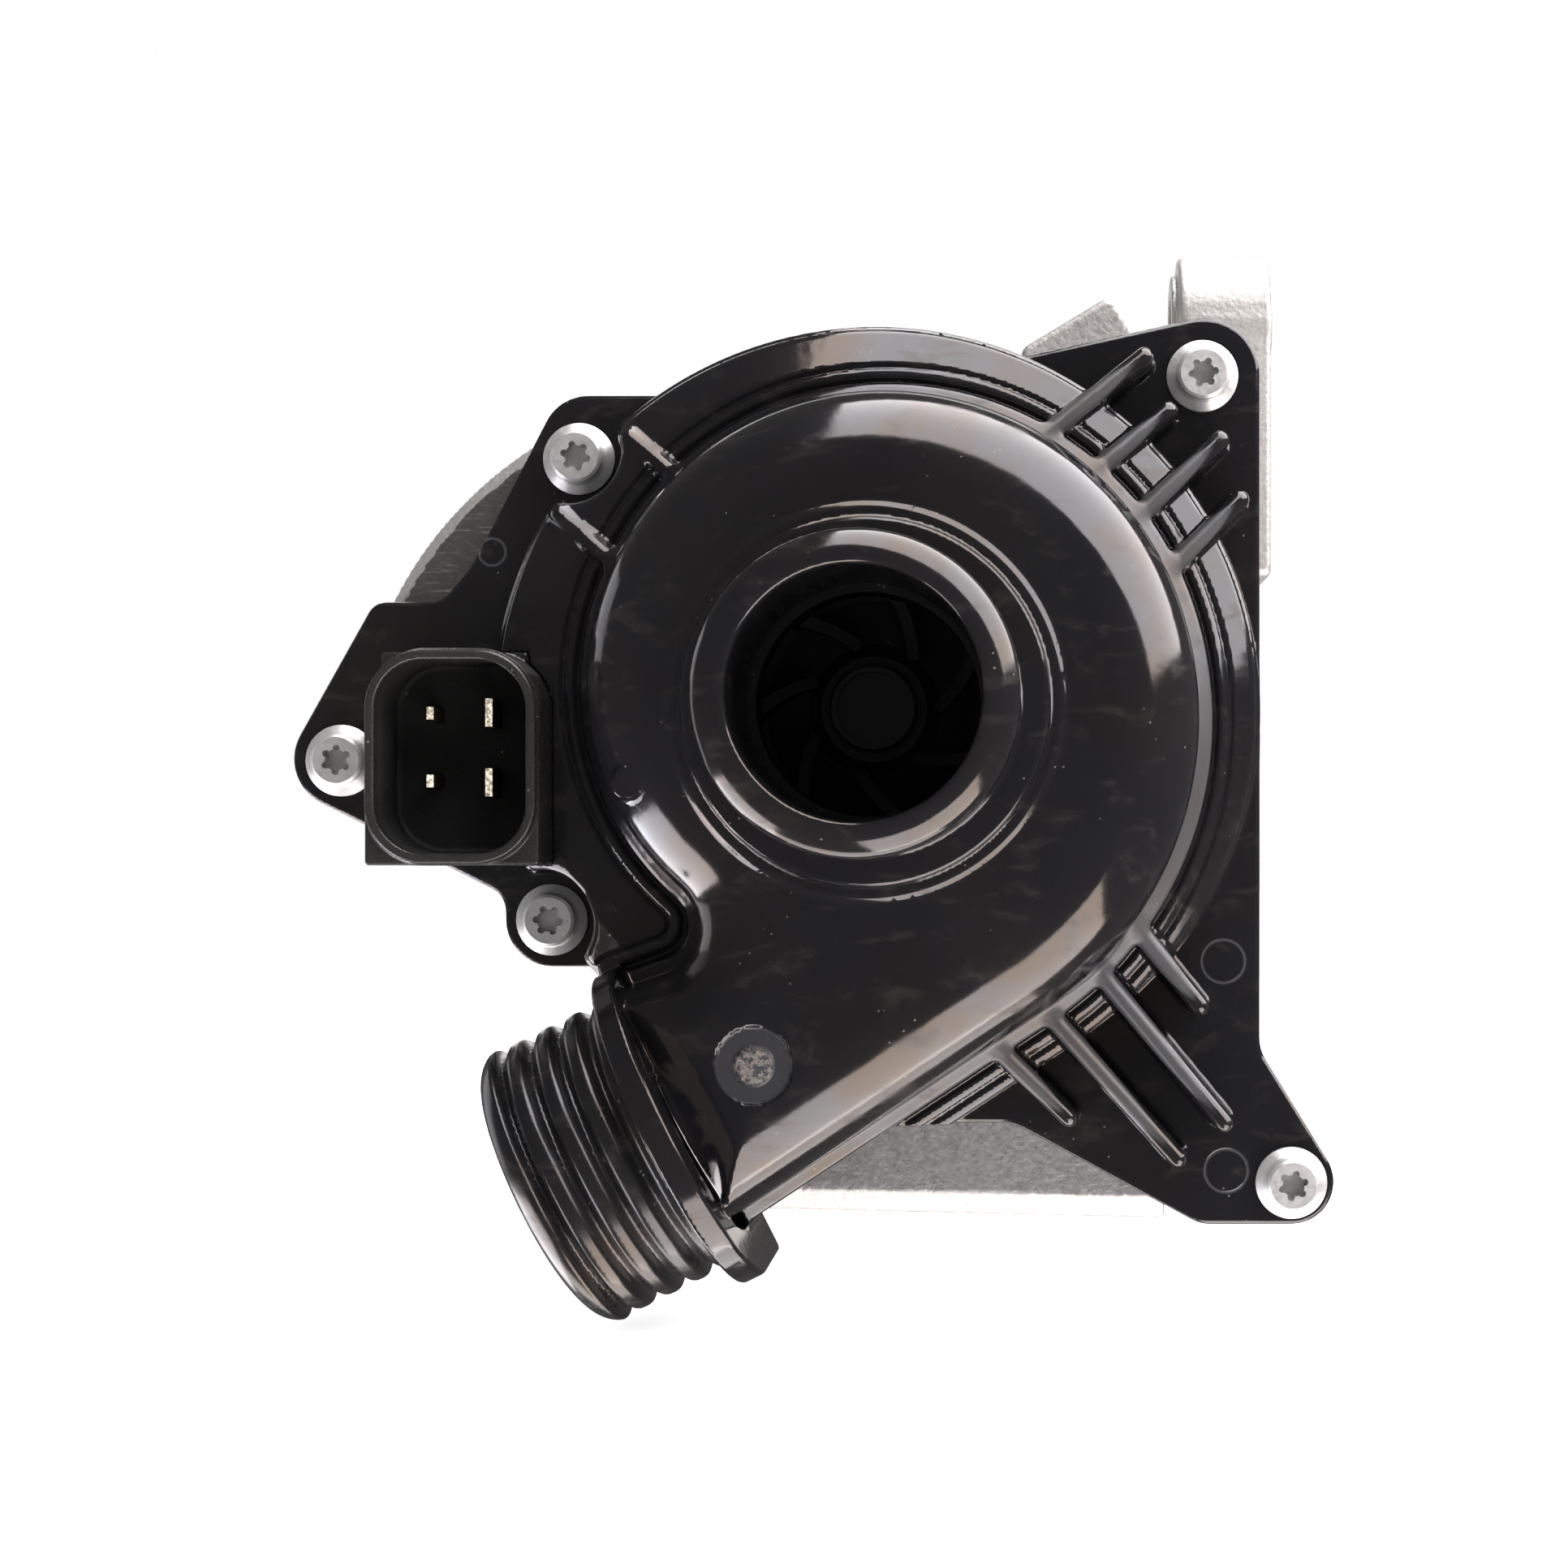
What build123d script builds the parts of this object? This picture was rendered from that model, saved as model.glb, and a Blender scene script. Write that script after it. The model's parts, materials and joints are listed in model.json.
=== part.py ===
from build123d import *
import os
from math import asin, cos, degrees, radians, sin

os.makedirs("parts", exist_ok=True)

# Electric coolant pump, millimetres.
# Every piece is drawn with x to the right, y up and z towards the inlet, on the rotor's
# axis, with z = 0 at the front face of the cover's flange. save() turns each piece into
# the part's frame: +Z up, inlet facing -Y, origin at the centre of the inlet's mouth.

# ---- driving dimensions -------------------------------------------------------------

# Inlet neck and the two ribbed hose necks
INLET_MOUTH = 61.0           # height of the inlet's mouth above the flange
INLET_BORE_R = 16.4
NECK_RIB_R = 21.0            # crest of the hose ribs
NECK_GROOVE_R = 20.0
NECK_RIB_PITCH = 4.4
NECK_RIBS = 3
NECK_BEAD = 3.4              # length of the bead at the mouth
NECK_BEAD_RISE = 0.4         # the bead over the ribs
NECK_NOSE_R = 2.3
COLLAR_R = 25.2
COLLAR_TOP = 36.0
OUTLET_BORE_R = 17.0
OUTLET_LENGTH = 20.5         # neck beyond the stop plate

# Volute: a spiral of tangent arcs, clockwise from the tongue, that runs into the duct
VOLUTE_START_R = 35.7        # radius where the upper duct wall meets the spiral
VOLUTE_START_ANGLE = 246.6
VOLUTE_RADII = (38.0, 41.5, 44.0, 49.7)
VOLUTE_SWEEP = 307.6
VOLUTE_TOP = 34.0
VOLUTE_FOOT = 4.0
TONGUE_R = 6.0               # round corner between the spiral and the duct
SHOULDER_R = 12.0
WALL = 2.6
LEDGE = 2.1                  # narrow ledge round the volute's foot
LEDGE_TOP = 13.5
RIDGE_IN, RIDGE_OUT = 3.9, 4.7    # fine ridge round the volute, distances from its wall
TROUGH_OUT = 5.3             # outer edge of the shallow trough that holds the ridge
STRIP_OUT = 7.2              # outer edge of the strip along the duct

# Outlet duct
OUTLET_ANGLE = 206.5         # direction of the neck, from +x
OUTLET_OFFSET = 41.0         # its centre line's distance from the rotor's axis
OUTLET_HEIGHT = 15.0
LOWER_WALL_ANGLE = 213.5
UPPER_WALL_OFFSET = 20.0     # upper wall's distance from the rotor's axis, at the plate
PLATE_FACE = 53.0            # neck side of the stop plate, along the outlet
PLATE_T = 3.7
PLATE_HALF = 24.3
DUCT_FROM, DUCT_FROM_R, DUCT_FROM_OFFSET = -9.0, 10.0, 37.0
DUCT_TO_R, DUCT_TO_OFFSET = 15.8, 39.4

# Drum and flange
DRUM_R = 56.1
DRUM_TOP = 8.6
DRUM_SLOPE = 0.5             # rise of the drum's face per millimetre inwards
DRUM_INNER_R = 48.5          # where the sloped face ends
DRUM_LIP = 1.2
TROUGH_FLOOR, RIDGE_TOP = 10.2, 11.2
FLANGE_T = 6.0
FLANGE_EDGE_R = 0.7
FLANGE_CORNERS = [           # x, y, corner radius, clockwise from the top left
    (-47.5, 47.2, 7.0), (-28.0, 47.2, 1.0), (5.0, 49.4, 1.0), (56.6, 60.7, 8.4),
    (56.6, -50.0, 6.0), (72.6, -76.0, 6.3), (47.7, -76.0, 5.0), (19.9, -60.9, 8.0),
    (-8.0, -60.9, 1.0), (-38.0, -37.7, 1.0), (-55.5, -37.7, 7.0), (-55.5, -27.1, 4.0),
    (-89.8, -9.9, 7.3), (-75.0, 16.5, 3.0), (-65.0, 16.5, 4.0), (-60.5, 21.9, 15.0),
]
SCREWS = [(48.0, 49.9), (-44.4, 37.6), (-79.6, -7.1), (-48.4, -30.7), (61.2, -69.7)]
SCREW_R = 2.5
SCREW_FLANGE_R = 5.3
SCREW_POCKET_R = 7.0         # room round each screw's head
SCREW_HEAD_R = 3.8
SCREW_HEAD_H = 4.2
SLEEVE_R = 3.6
SLEEVE_WALL = 0.8
RIB_T = 2.6
RIB_TOP, RIB_END = 14.5, 11.0
RIBS = [                     # start x, start y, angle, length
    (23.6, 38.6, 39.5, 20.0), (30.0, 32.8, 40.5, 16.5), (36.3, 26.2, 43.5, 19.0),
    (40.9, 18.6, 45.0, 17.0), (37.4, -31.0, -51.0, 15.5), (31.6, -36.8, -50.5, 30.0),
    (24.1, -42.6, -48.6, 30.0), (17.0, -48.0, -45.0, 15.8), (-27.0, 32.2, 140.0, 11.5),
    (-36.5, 20.2, 138.5, 12.5),
]
START_BOSS = (-34.8, -11.2)  # round boss where the volute starts
START_BOSS_R, START_BOSS_TOP = 2.4, 24.0

# Connector
SOCKET_X = (-71.2, -46.6)
SOCKET_Y = (-22.4, 8.2)
SOCKET_BLOCK_TOP = 22.0
SOCKET_STEP_X = -50.0        # right of this the block stands on the drum
SOCKET_FOOT = 7.0
SOCKET_MOUTH = 23.6
SOCKET_FLOOR = 9.0
SOCKET_WALL = 1.7
SOCKET_CORNER_R = 7.0
STEM_X, STEM_Y = (-68.0, -52.6), (-16.0, 5.0)
STEM_GAP = 0.2               # between the stem and its channel
GASKET_W, GASKET_T = 1.6, 1.6
SEAL_R = 49.5                # middle of the ring seal between cover and housing
POWER_PINS = [(-54.9, -0.6), (-54.9, -10.6)]
SIGNAL_PINS = [(-63.3, -0.7), (-63.3, -10.4)]
PIN_T, POWER_PIN_W, SIGNAL_PIN_W = 1.0, 4.0, 1.8
PIN_TIP = 15.5

# Housing
HOUSING_FRONT = -FLANGE_T
FACE_T = 10.0                # thickness of the housing's front plate
BULGE_R, BULGE_X, BULGE_Y = 59.7, -20.5, -9.8
BULGE_AREA = (-61.5, 29.5, 50.0, 46.0)    # the bulge's part of that circle: middle and size
BARREL_R = 46.0
STATOR_R = 40.0
BARREL_FLOOR = -70.0
FLOOR_T = 4.0
CHAMBER_R = 53.0
CHAMBER_REAR = -90.0
CHAMBER_WALL = 7.0
LOBE_X, LOBE_Y = -73.0, (-21.5, 12.0)
FOOT_CORNERS = [(-17.5, -40.0), (-17.5, -74.9), (42.8, -76.3), (42.8, -40.0)]
FOOT_REAR = -34.0
FOOT_CHAMFER = 3.4
BULGE_CHAMFER = 1.8
MOUNT_FACE = 60.0            # x of the machined mounting pads
SCREW_BOSS_R, SCREW_BOSS_REAR = 6.6, -24.0
TOP_BOSS = (30.0, 56.5, -26.0)
TOP_BOSS_SIZE, TOP_BOSS_TURN = (17.0, 9.0, 26.0), 31.0
LUG_R = 10.0
LUG_T = 14.3
LUG_HOLE_R, LUG_HOLE_DEPTH = 3.5, 20.0
LUGS = [(63.4, -30.0), (38.0, -76.0), (-57.0, -62.0)]    # y, z of each bolt hole
BOLT_SEAT_R, BOLT_SEAT_T = 7.2, 1.0

# Motor
SHAFT_R = 4.5
BEARING_R = 8.5
RUNNING_GAP = 0.04
POCKET_R = 47.6              # recess in the cover for the bearing carrier
CARRIER_FRONT = 2.8
CAN_R, CAN_WALL = 19.3, 0.6
CAN_FLANGE_R = 44.0
CAN_REAR = -64.0
STATOR_FRONT, STATOR_REAR = -20.0, -52.0
TEETH = 9
MAGNETS = 8
MAGNET_R, MAGNET_T = 17.6, 3.2
ROTOR_FRONT, ROTOR_REAR = -22.0, -50.0
IMPELLER_R = 30.0
IMPELLER_BACK = 4.0
EYE_R = 15.6
BLADES = 7

# Electronics and rear cover
BOARD_Z, BOARD_T = -84.4, 1.6
BOARD_SCREWS = [(28.3, 28.3), (-22.9, 32.8), (-22.9, -32.8), (28.3, -28.3)]
CAPACITORS = [(35.5, 12.5), (37.5, 0.0), (35.5, -12.5)]
PHASE_R, PHASE_ANGLES = 27.0, (90, 210, 330)
REAR_SEAL_T = 1.6
REAR_COVER_T = 4.0
FIN_H, FIN_T, FIN_PITCH = 5.0, 2.0, 6.5
REAR_SCREW_R = 1.9
REAR_SCREW_BOSS_R = 4.6
REAR_SCREW_CIRCLE = 50.0
REAR_SCREW_ANGLES = (20.0, 70.0, 115.0, 245.0, 290.0, 335.0)

PLACE = Plane(origin=(0, INLET_MOUTH, 0), x_dir=(1, 0, 0), z_dir=(0, -1, 0)).location


# ---- helpers ------------------------------------------------------------------------

def save(name, shape):
    """Write one piece, turned into the part's frame."""
    export_step(PLACE * shape, f"parts/{name}.step")


def disc(r, z0, z1, x=0.0, y=0.0):
    return Pos(x, y, min(z0, z1)) * Cylinder(
        r, abs(z1 - z0), align=(Align.CENTER, Align.CENTER, Align.MIN))


def ring(r_out, r_in, z0, z1, x=0.0, y=0.0):
    return disc(r_out, z0, z1, x, y) - disc(r_in, z0 - 1, z1 + 1, x, y)


def slab(sketch, z0, z1):
    """Sketch in x and y, made solid between two heights."""
    return extrude(Pos(0, 0, z0) * sketch, amount=z1 - z0)


def block(x, y, z):
    """Box from three (low, high) pairs."""
    size = [hi - lo for lo, hi in (x, y, z)]
    return Pos(*[(lo + hi) / 2 for lo, hi in (x, y, z)]) * Box(*size)


def turned(points):
    """Solid of revolution about z from (radius, z) corners."""
    return revolve(Plane.XZ * make_face(Polyline(*points, close=True)), Axis.Z, 360)


def polar(r, angle):
    return (r * cos(radians(angle)), r * sin(radians(angle)))


def outlet_point(along, offset):
    """Point in x and y: distance along the outlet, and offset from the rotor's axis."""
    ax, ay = polar(along, OUTLET_ANGLE)
    ox, oy = polar(offset, OUTLET_ANGLE + 90)
    return (ax + ox, ay + oy)


def outlet_frame(along, offset=OUTLET_OFFSET):
    """Plane across the outlet, its z along the flow and its y towards the viewer."""
    x, y = outlet_point(along, offset)
    flow = polar(1, OUTLET_ANGLE)
    across = polar(1, OUTLET_ANGLE + 90)
    return Plane(origin=(x, y, OUTLET_HEIGHT), x_dir=(across[0], across[1], 0),
                 z_dir=(flow[0], flow[1], 0))


# ---- volute cover -------------------------------------------------------------------

def volute_spiral(inset):
    """Spiral as a chain of tangent arcs, clockwise from the tongue."""
    heading = LOWER_WALL_ANGLE + VOLUTE_SWEEP
    point = polar(VOLUTE_START_R - inset, VOLUTE_START_ANGLE)
    sweep = VOLUTE_SWEEP / len(VOLUTE_RADII)
    arcs = []
    for radius in VOLUTE_RADII:
        arcs.append(JernArc(point, polar(1, heading), radius - inset, -sweep))
        point = arcs[-1] @ 1
        heading -= sweep
    return arcs


def volute_outline(inset, beyond):
    """Dome and duct in plan; the duct runs past the stop plate's back by beyond."""
    spiral = volute_spiral(inset)
    first, last = spiral[0] @ 0, spiral[-1] @ 1
    end = PLATE_FACE - PLATE_T + beyond
    lower_dir = polar(1, LOWER_WALL_ANGLE)
    flow = polar(1, OUTLET_ANGLE)
    run = (end - last.X * flow[0] - last.Y * flow[1]) / (
        lower_dir[0] * flow[0] + lower_dir[1] * flow[1])
    lower = (last.X + run * lower_dir[0], last.Y + run * lower_dir[1])
    upper = outlet_point(end, UPPER_WALL_OFFSET + inset)
    edges = spiral + [Line(last, lower), Line(lower, upper), Line(upper, first)]
    return make_face(Wire(edges))


def dome():
    """Volute and duct front with the large rounded shoulder."""
    body = slab(volute_outline(0, 1.5), VOLUTE_FOOT, VOLUTE_TOP)
    tongue = Vector(*polar(VOLUTE_START_R, VOLUTE_START_ANGLE))
    upright = body.edges().filter_by(Axis.Z).sort_by_distance((tongue.X, tongue.Y, VOLUTE_TOP / 2))
    body = fillet(upright[0], TONGUE_R)
    limit = PLATE_FACE - PLATE_T
    flow = polar(1, OUTLET_ANGLE)
    top = [e for e in body.edges().group_by(Axis.Z)[-1]
           if e.center().X * flow[0] + e.center().Y * flow[1] < limit]
    return fillet(top, SHOULDER_R)


def duct(extra):
    """Round inside of the outlet duct; extra is the wall's thickness."""
    near = outlet_frame(DUCT_FROM, DUCT_FROM_OFFSET) * Circle(DUCT_FROM_R + extra)
    far = outlet_frame(PLATE_FACE - PLATE_T + 0.5, DUCT_TO_OFFSET) * Circle(DUCT_TO_R + extra)
    return loft([near, far])


def hose_neck(bore_r, length):
    """Ribbed neck from z = 0 to its mouth at z = length: round ribs and round grooves."""
    middle = (NECK_RIB_R + NECK_GROOVE_R) / 2
    bead_r = NECK_RIB_R + NECK_BEAD_RISE
    half = NECK_RIB_PITCH / 2
    z = length - NECK_BEAD
    edges = [
        RadiusArc((bead_r - NECK_NOSE_R, length), (bead_r, length - NECK_NOSE_R), NECK_NOSE_R),
        Line((bead_r, length - NECK_NOSE_R), (bead_r, z + 0.5)),
        Line((bead_r, z + 0.5), (middle, z)),
    ]
    for i in range(2 * NECK_RIBS + 1):
        bulge = NECK_GROOVE_R if i % 2 == 0 else NECK_RIB_R
        edges.append(ThreePointArc((middle, z), (bulge, z - half / 2), (middle, z - half)))
        z -= half
    corners = [(middle, z), (middle, 0), (bore_r, 0), (bore_r, length),
               (bead_r - NECK_NOSE_R, length)]
    edges += [Line(p, q) for p, q in zip(corners, corners[1:])]
    return revolve(Plane.XZ * make_face(Wire(edges)), Axis.Z, 360)


def stop_plate():
    """Tombstone plate: round towards the front, square behind."""
    depth = OUTLET_HEIGHT + FLANGE_T
    shape = Circle(PLATE_HALF) + Pos(0, -depth / 2) * Rectangle(2 * PLATE_HALF, depth)
    shape -= Pos(0, -depth - PLATE_HALF / 2) * Rectangle(3 * PLATE_HALF, PLATE_HALF)
    return extrude(outlet_frame(PLATE_FACE - PLATE_T) * shape, amount=PLATE_T)


def flange_sketch():
    points = [(x, y) for x, y, _ in FLANGE_CORNERS]
    radii = [r for _, _, r in FLANGE_CORNERS]
    return make_face(FilletPolyline(*points, radius=radii, close=True))


def flange():
    plate = slab(flange_sketch(), -FLANGE_T, 0)
    return fillet(plate.edges().group_by(Axis.Z)[-1], FLANGE_EDGE_R)


def drum():
    """Ring round the volute: a lip, a sloped face and a trough with a fine ridge."""
    face_r = DRUM_R - DRUM_LIP
    crown = DRUM_TOP + DRUM_SLOPE * (face_r - DRUM_INNER_R)
    body = turned([
        (0, -1), (DRUM_R, -1), (DRUM_R, DRUM_TOP - 1.2), (face_r + 0.4, DRUM_TOP - 0.5),
        (face_r, DRUM_TOP - 0.5), (face_r, DRUM_TOP), (DRUM_INNER_R, crown), (0, crown)])
    body -= slab(volute_outline(-TROUGH_OUT, -4), TROUGH_FLOOR, crown + 1)
    ridge = slab(volute_outline(-RIDGE_OUT, -4), 5, RIDGE_TOP)
    ridge -= slab(volute_outline(-RIDGE_IN, -4), TROUGH_FLOOR, RIDGE_TOP + 1)
    return body + (ridge & disc(DRUM_R - 1, 0, 20))


def rib(x, y, angle, length):
    """Web with a round outer end whose top slopes down outwards."""
    web = slab(SlotCenterToCenter(length, RIB_T), -1, RIB_TOP)
    drop = degrees(asin((RIB_TOP - RIB_END) / (length + 6)))
    cutter = Pos(-length / 2, 0, RIB_TOP) * Rot(0, drop, 0) * block(
        (-5, length + 20), (-5, 5), (0, 20))
    return Pos(x, y, 0) * Rot(0, 0, angle) * Pos(length / 2, 0, 0) * (web - cutter)


def lower_ledge():
    """Ledge round the volute's foot, and the strip along the duct on the flange."""
    ledge = slab(volute_outline(-LEDGE, -4), 0, LEDGE_TOP)
    strip = slab(volute_outline(-STRIP_OUT, -14) & flange_sketch(), 0, DRUM_TOP)
    return ledge + strip


def connector_room():
    """Room in the drum for the connector's block."""
    block_room = block(SOCKET_X, SOCKET_Y, (SOCKET_FOOT, SOCKET_BLOCK_TOP))
    return block_room + block((SOCKET_X[0], SOCKET_STEP_X), SOCKET_Y, (0, SOCKET_BLOCK_TOP))


def inlet():
    neck = Pos(0, 0, VOLUTE_TOP - 8) * hose_neck(INLET_BORE_R, INLET_MOUTH - VOLUTE_TOP + 8)
    collar = turned([(INLET_BORE_R, 30), (COLLAR_R + 2.2, 30), (COLLAR_R + 2.2, VOLUTE_TOP - 0.5),
                     (COLLAR_R + 0.8, VOLUTE_TOP + 0.3), (COLLAR_R, COLLAR_TOP - 0.6),
                     (COLLAR_R - 0.6, COLLAR_TOP), (INLET_BORE_R, COLLAR_TOP)])
    eye_seat = ring(EYE_R + 5.0, EYE_R + 2.3, 24, VOLUTE_TOP - 1)
    return neck + collar - disc(EYE_R + 2.3, 10, 28.5) + eye_seat


def volute_cavity():
    """Space for the impeller and the water, open to the back."""
    spiral = volute_spiral(WALL)
    plan = make_face(Wire(spiral + [Line(spiral[-1] @ 1, spiral[0] @ 0)]))
    core = slab(plan, 2, VOLUTE_TOP - WALL)
    core = fillet(core.edges().group_by(Axis.Z)[-1], SHOULDER_R - WALL)
    return core + disc(IMPELLER_R + 1.2, 2, 24)


def volute_cover():
    body = flange() + drum() + lower_ledge() - connector_room()
    for x, y, angle, length in RIBS:
        body += rib(x, y, angle, length)
    body += dome()
    body += duct(WALL)
    body += stop_plate()
    outlet = outlet_frame(PLATE_FACE - 0.5).location * hose_neck(
        OUTLET_BORE_R, OUTLET_LENGTH + 0.5)
    body += outlet
    body -= volute_cavity()
    body -= duct(0)
    body -= disc(POCKET_R, -FLANGE_T - 1, CARRIER_FRONT + 0.2)
    body -= disc(EYE_R + 2.3, 2, VOLUTE_TOP + 2)
    body -= outlet_frame(PLATE_FACE - PLATE_T).location * disc(
        OUTLET_BORE_R, 0, OUTLET_LENGTH + PLATE_T + 1)
    body += inlet()
    body += disc(START_BOSS_R, 8, START_BOSS_TOP, *START_BOSS)
    body -= block(STEM_X, STEM_Y, (-FLANGE_T - 1, 0.5))
    for x, y in SCREWS:
        body -= disc(SLEEVE_R, -FLANGE_T - 1, 0.5, x, y)
        body -= disc(SCREW_POCKET_R, 0, 20, x, y)
    return body


def cover_sleeves():
    return Compound([ring(SLEEVE_R, SLEEVE_R - SLEEVE_WALL, -FLANGE_T, 0, x, y).solid()
                     for x, y in SCREWS])


def torx_socket(depth):
    """Six-lobed recess, 4.5 mm across its points."""
    lobes = Circle(1.62)
    for i in range(6):
        lobes += Pos(*polar(1.72, 60 * i)) * Circle(0.53)
    return slab(lobes, -depth, 1)


def cover_screw():
    """Flanged screw with a six-lobed drive, seated at z = 0."""
    head = turned([(0, 0), (SCREW_FLANGE_R, 0), (SCREW_FLANGE_R, 0.8), (SCREW_HEAD_R + 0.3, 1.6),
                   (SCREW_HEAD_R, 2.0), (SCREW_HEAD_R, SCREW_HEAD_H - 0.4),
                   (SCREW_HEAD_R - 0.4, SCREW_HEAD_H), (0, SCREW_HEAD_H)])
    head -= Pos(0, 0, SCREW_HEAD_H) * torx_socket(2.4)
    return head + disc(SCREW_R, -20, 0) + turned(
        [(0, -21), (SCREW_R - 1, -21), (SCREW_R, -20), (0, -20)])


def cover_screws():
    screw = cover_screw()
    turns = (8, -14, 27, -5, 18)
    return Compound([(Pos(x, y, 0) * Rot(0, 0, turn) * screw).solid()
                     for (x, y), turn in zip(SCREWS, turns)])


def cover_seal():
    return ring(SEAL_R + 0.9, SEAL_R - 0.9, HOUSING_FRONT - 2.0, HOUSING_FRONT)


# ---- connector ----------------------------------------------------------------------

def socket_shape(inset):
    width = SOCKET_X[1] - SOCKET_X[0] - 2 * inset
    height = SOCKET_Y[1] - SOCKET_Y[0] - 2 * inset
    middle = (sum(SOCKET_X) / 2, sum(SOCKET_Y) / 2)
    return Pos(*middle) * RectangleRounded(width, height, SOCKET_CORNER_R - inset)


def pin(x, y, width, tip, tail):
    return block((x - PIN_T / 2, x + PIN_T / 2), (y - width / 2, y + width / 2), (tail, tip))


def connector_shell():
    middle = sum(SOCKET_Y) / 2
    body = block(SOCKET_X, (SOCKET_Y[0], middle), (SOCKET_FOOT, SOCKET_BLOCK_TOP))
    body += slab(socket_shape(0), SOCKET_FOOT, SOCKET_BLOCK_TOP)
    body += block((SOCKET_X[0], SOCKET_STEP_X), SOCKET_Y, (0, SOCKET_FOOT + 1))
    body += slab(socket_shape(0.3), SOCKET_BLOCK_TOP - 1, SOCKET_MOUTH)
    body += block(STEM_X, STEM_Y, (-20, 1))
    body -= slab(socket_shape(SOCKET_WALL), SOCKET_FLOOR, SOCKET_MOUTH + 1)
    for x, y in POWER_PINS:
        body -= pin(x, y, POWER_PIN_W, SOCKET_FLOOR + 1, -21)
    for x, y in SIGNAL_PINS:
        body -= pin(x, y, SIGNAL_PIN_W, SOCKET_FLOOR + 1, -21)
    return body


def gasket_block(z0, z1):
    return block((STEM_X[0] - GASKET_W, STEM_X[1] + GASKET_W),
                 (STEM_Y[0] - GASKET_W, STEM_Y[1] + GASKET_W), (z0, z1))


def connector_seal():
    return gasket_block(HOUSING_FRONT - GASKET_T, HOUSING_FRONT) - block(
        STEM_X, STEM_Y, (-20, 0))


def pins(places, width):
    tail = BOARD_Z - BOARD_T - 1.2
    return Compound([pin(x, y, width, PIN_TIP, tail) for x, y in places])


# ---- housing ------------------------------------------------------------------------

def lobe_sketch(inset=0.0):
    """Left lobe that carries the connector's conductors back to the board."""
    x0, x1 = LOBE_X + inset, -30
    y0, y1 = LOBE_Y[0] + inset, LOBE_Y[1] - inset
    return Pos((x0 + x1) / 2, (y0 + y1) / 2) * RectangleRounded(x1 - x0, y1 - y0, 8 - inset)


def chamber_sketch(inset):
    """Electronics chamber in plan: a circle with the lobe at its left."""
    return Circle(CHAMBER_R - inset) + lobe_sketch(inset)


def seal_sketch():
    return chamber_sketch(4.9) - chamber_sketch(6.3)


def face_plate():
    """Front plate in the cover's outline, with a round bulge and a deep flat foot."""
    rear = HOUSING_FRONT - FACE_T
    plate = slab(flange_sketch(), rear, HOUSING_FRONT)
    x, y, width, height = BULGE_AREA
    corner = Pos(x, y) * Rot(0, 0, 45) * Rectangle(width, height)
    bulge = slab((Pos(BULGE_X, BULGE_Y) * Circle(BULGE_R)) & corner, rear, HOUSING_FRONT)
    arcs = bulge.edges().group_by(Axis.Z)[-1].filter_by(GeomType.CIRCLE)
    foot = slab(make_face(Polyline(*FOOT_CORNERS, close=True)), FOOT_REAR, HOUSING_FRONT)
    edge = foot.edges().group_by(Axis.Z)[-1].sort_by(Axis.Y)[0]
    return plate + chamfer(arcs, BULGE_CHAMFER) + chamfer(edge, FOOT_CHAMFER)


def lug(y, z):
    """Mounting lug: rounded pad with its bolt hole along x, on a web from the barrel."""
    inner = MOUNT_FACE - LUG_T
    pad = Pos(inner, y, z) * Rot(0, 90, 0) * Cylinder(
        LUG_R, LUG_T, align=(Align.CENTER, Align.CENTER, Align.MIN))
    seat = Pos(inner - BOLT_SEAT_T, y, z) * Rot(0, 90, 0) * Cylinder(
        BOLT_SEAT_R, BOLT_SEAT_T, align=(Align.CENTER, Align.CENTER, Align.MIN))
    low, high = sorted((y, 0.35 * y))
    web = block((inner, MOUNT_FACE), (low, high), (z - LUG_R, z + LUG_R))
    root_low, root_high = sorted((0.75 * y, 0.2 * y))
    root = block((20, MOUNT_FACE - 3), (root_low, root_high), (z - LUG_R + 2, z + LUG_R - 2))
    return pad + seat + web + root


def lug_holes():
    return [Pos(MOUNT_FACE, y, z) * Rot(0, 90, 0) * Cylinder(LUG_HOLE_R, 2 * LUG_HOLE_DEPTH)
            for y, z in LUGS]


def barrel_fins():
    """Cooling ribs along the barrel, clear of the conductors' lobe."""
    fins = []
    for i in range(24):
        angle = 15.0 * i + 7.5
        if not 150 < angle < 215:
            fin = block((BARREL_R - 2, BARREL_R + 3.0), (-1.2, 1.2),
                        (BARREL_FLOOR, HOUSING_FRONT - 2))
            fins.append(Rot(0, 0, angle) * fin)
    return fins


def housing_outside():
    body = face_plate()
    body += disc(BARREL_R, BARREL_FLOOR - FLOOR_T, HOUSING_FRONT)
    body += slab(lobe_sketch(), CHAMBER_REAR, HOUSING_FRONT)
    body += disc(CHAMBER_R, CHAMBER_REAR, BARREL_FLOOR + 4)
    body += barrel_fins()
    body += [disc(SCREW_BOSS_R, SCREW_BOSS_REAR, HOUSING_FRONT, x, y) for x, y in SCREWS]
    body += [lug(y, z) for y, z in LUGS]
    boss = Pos(*TOP_BOSS) * Rot(0, 0, TOP_BOSS_TURN) * Box(*TOP_BOSS_SIZE)
    body += fillet(boss.edges().filter_by(Axis.Z), 2.0)
    body += [disc(REAR_SCREW_BOSS_R, CHAMBER_REAR, BARREL_FLOOR + 4, x, y) for x, y in rear_screw_places()]
    return body


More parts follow.
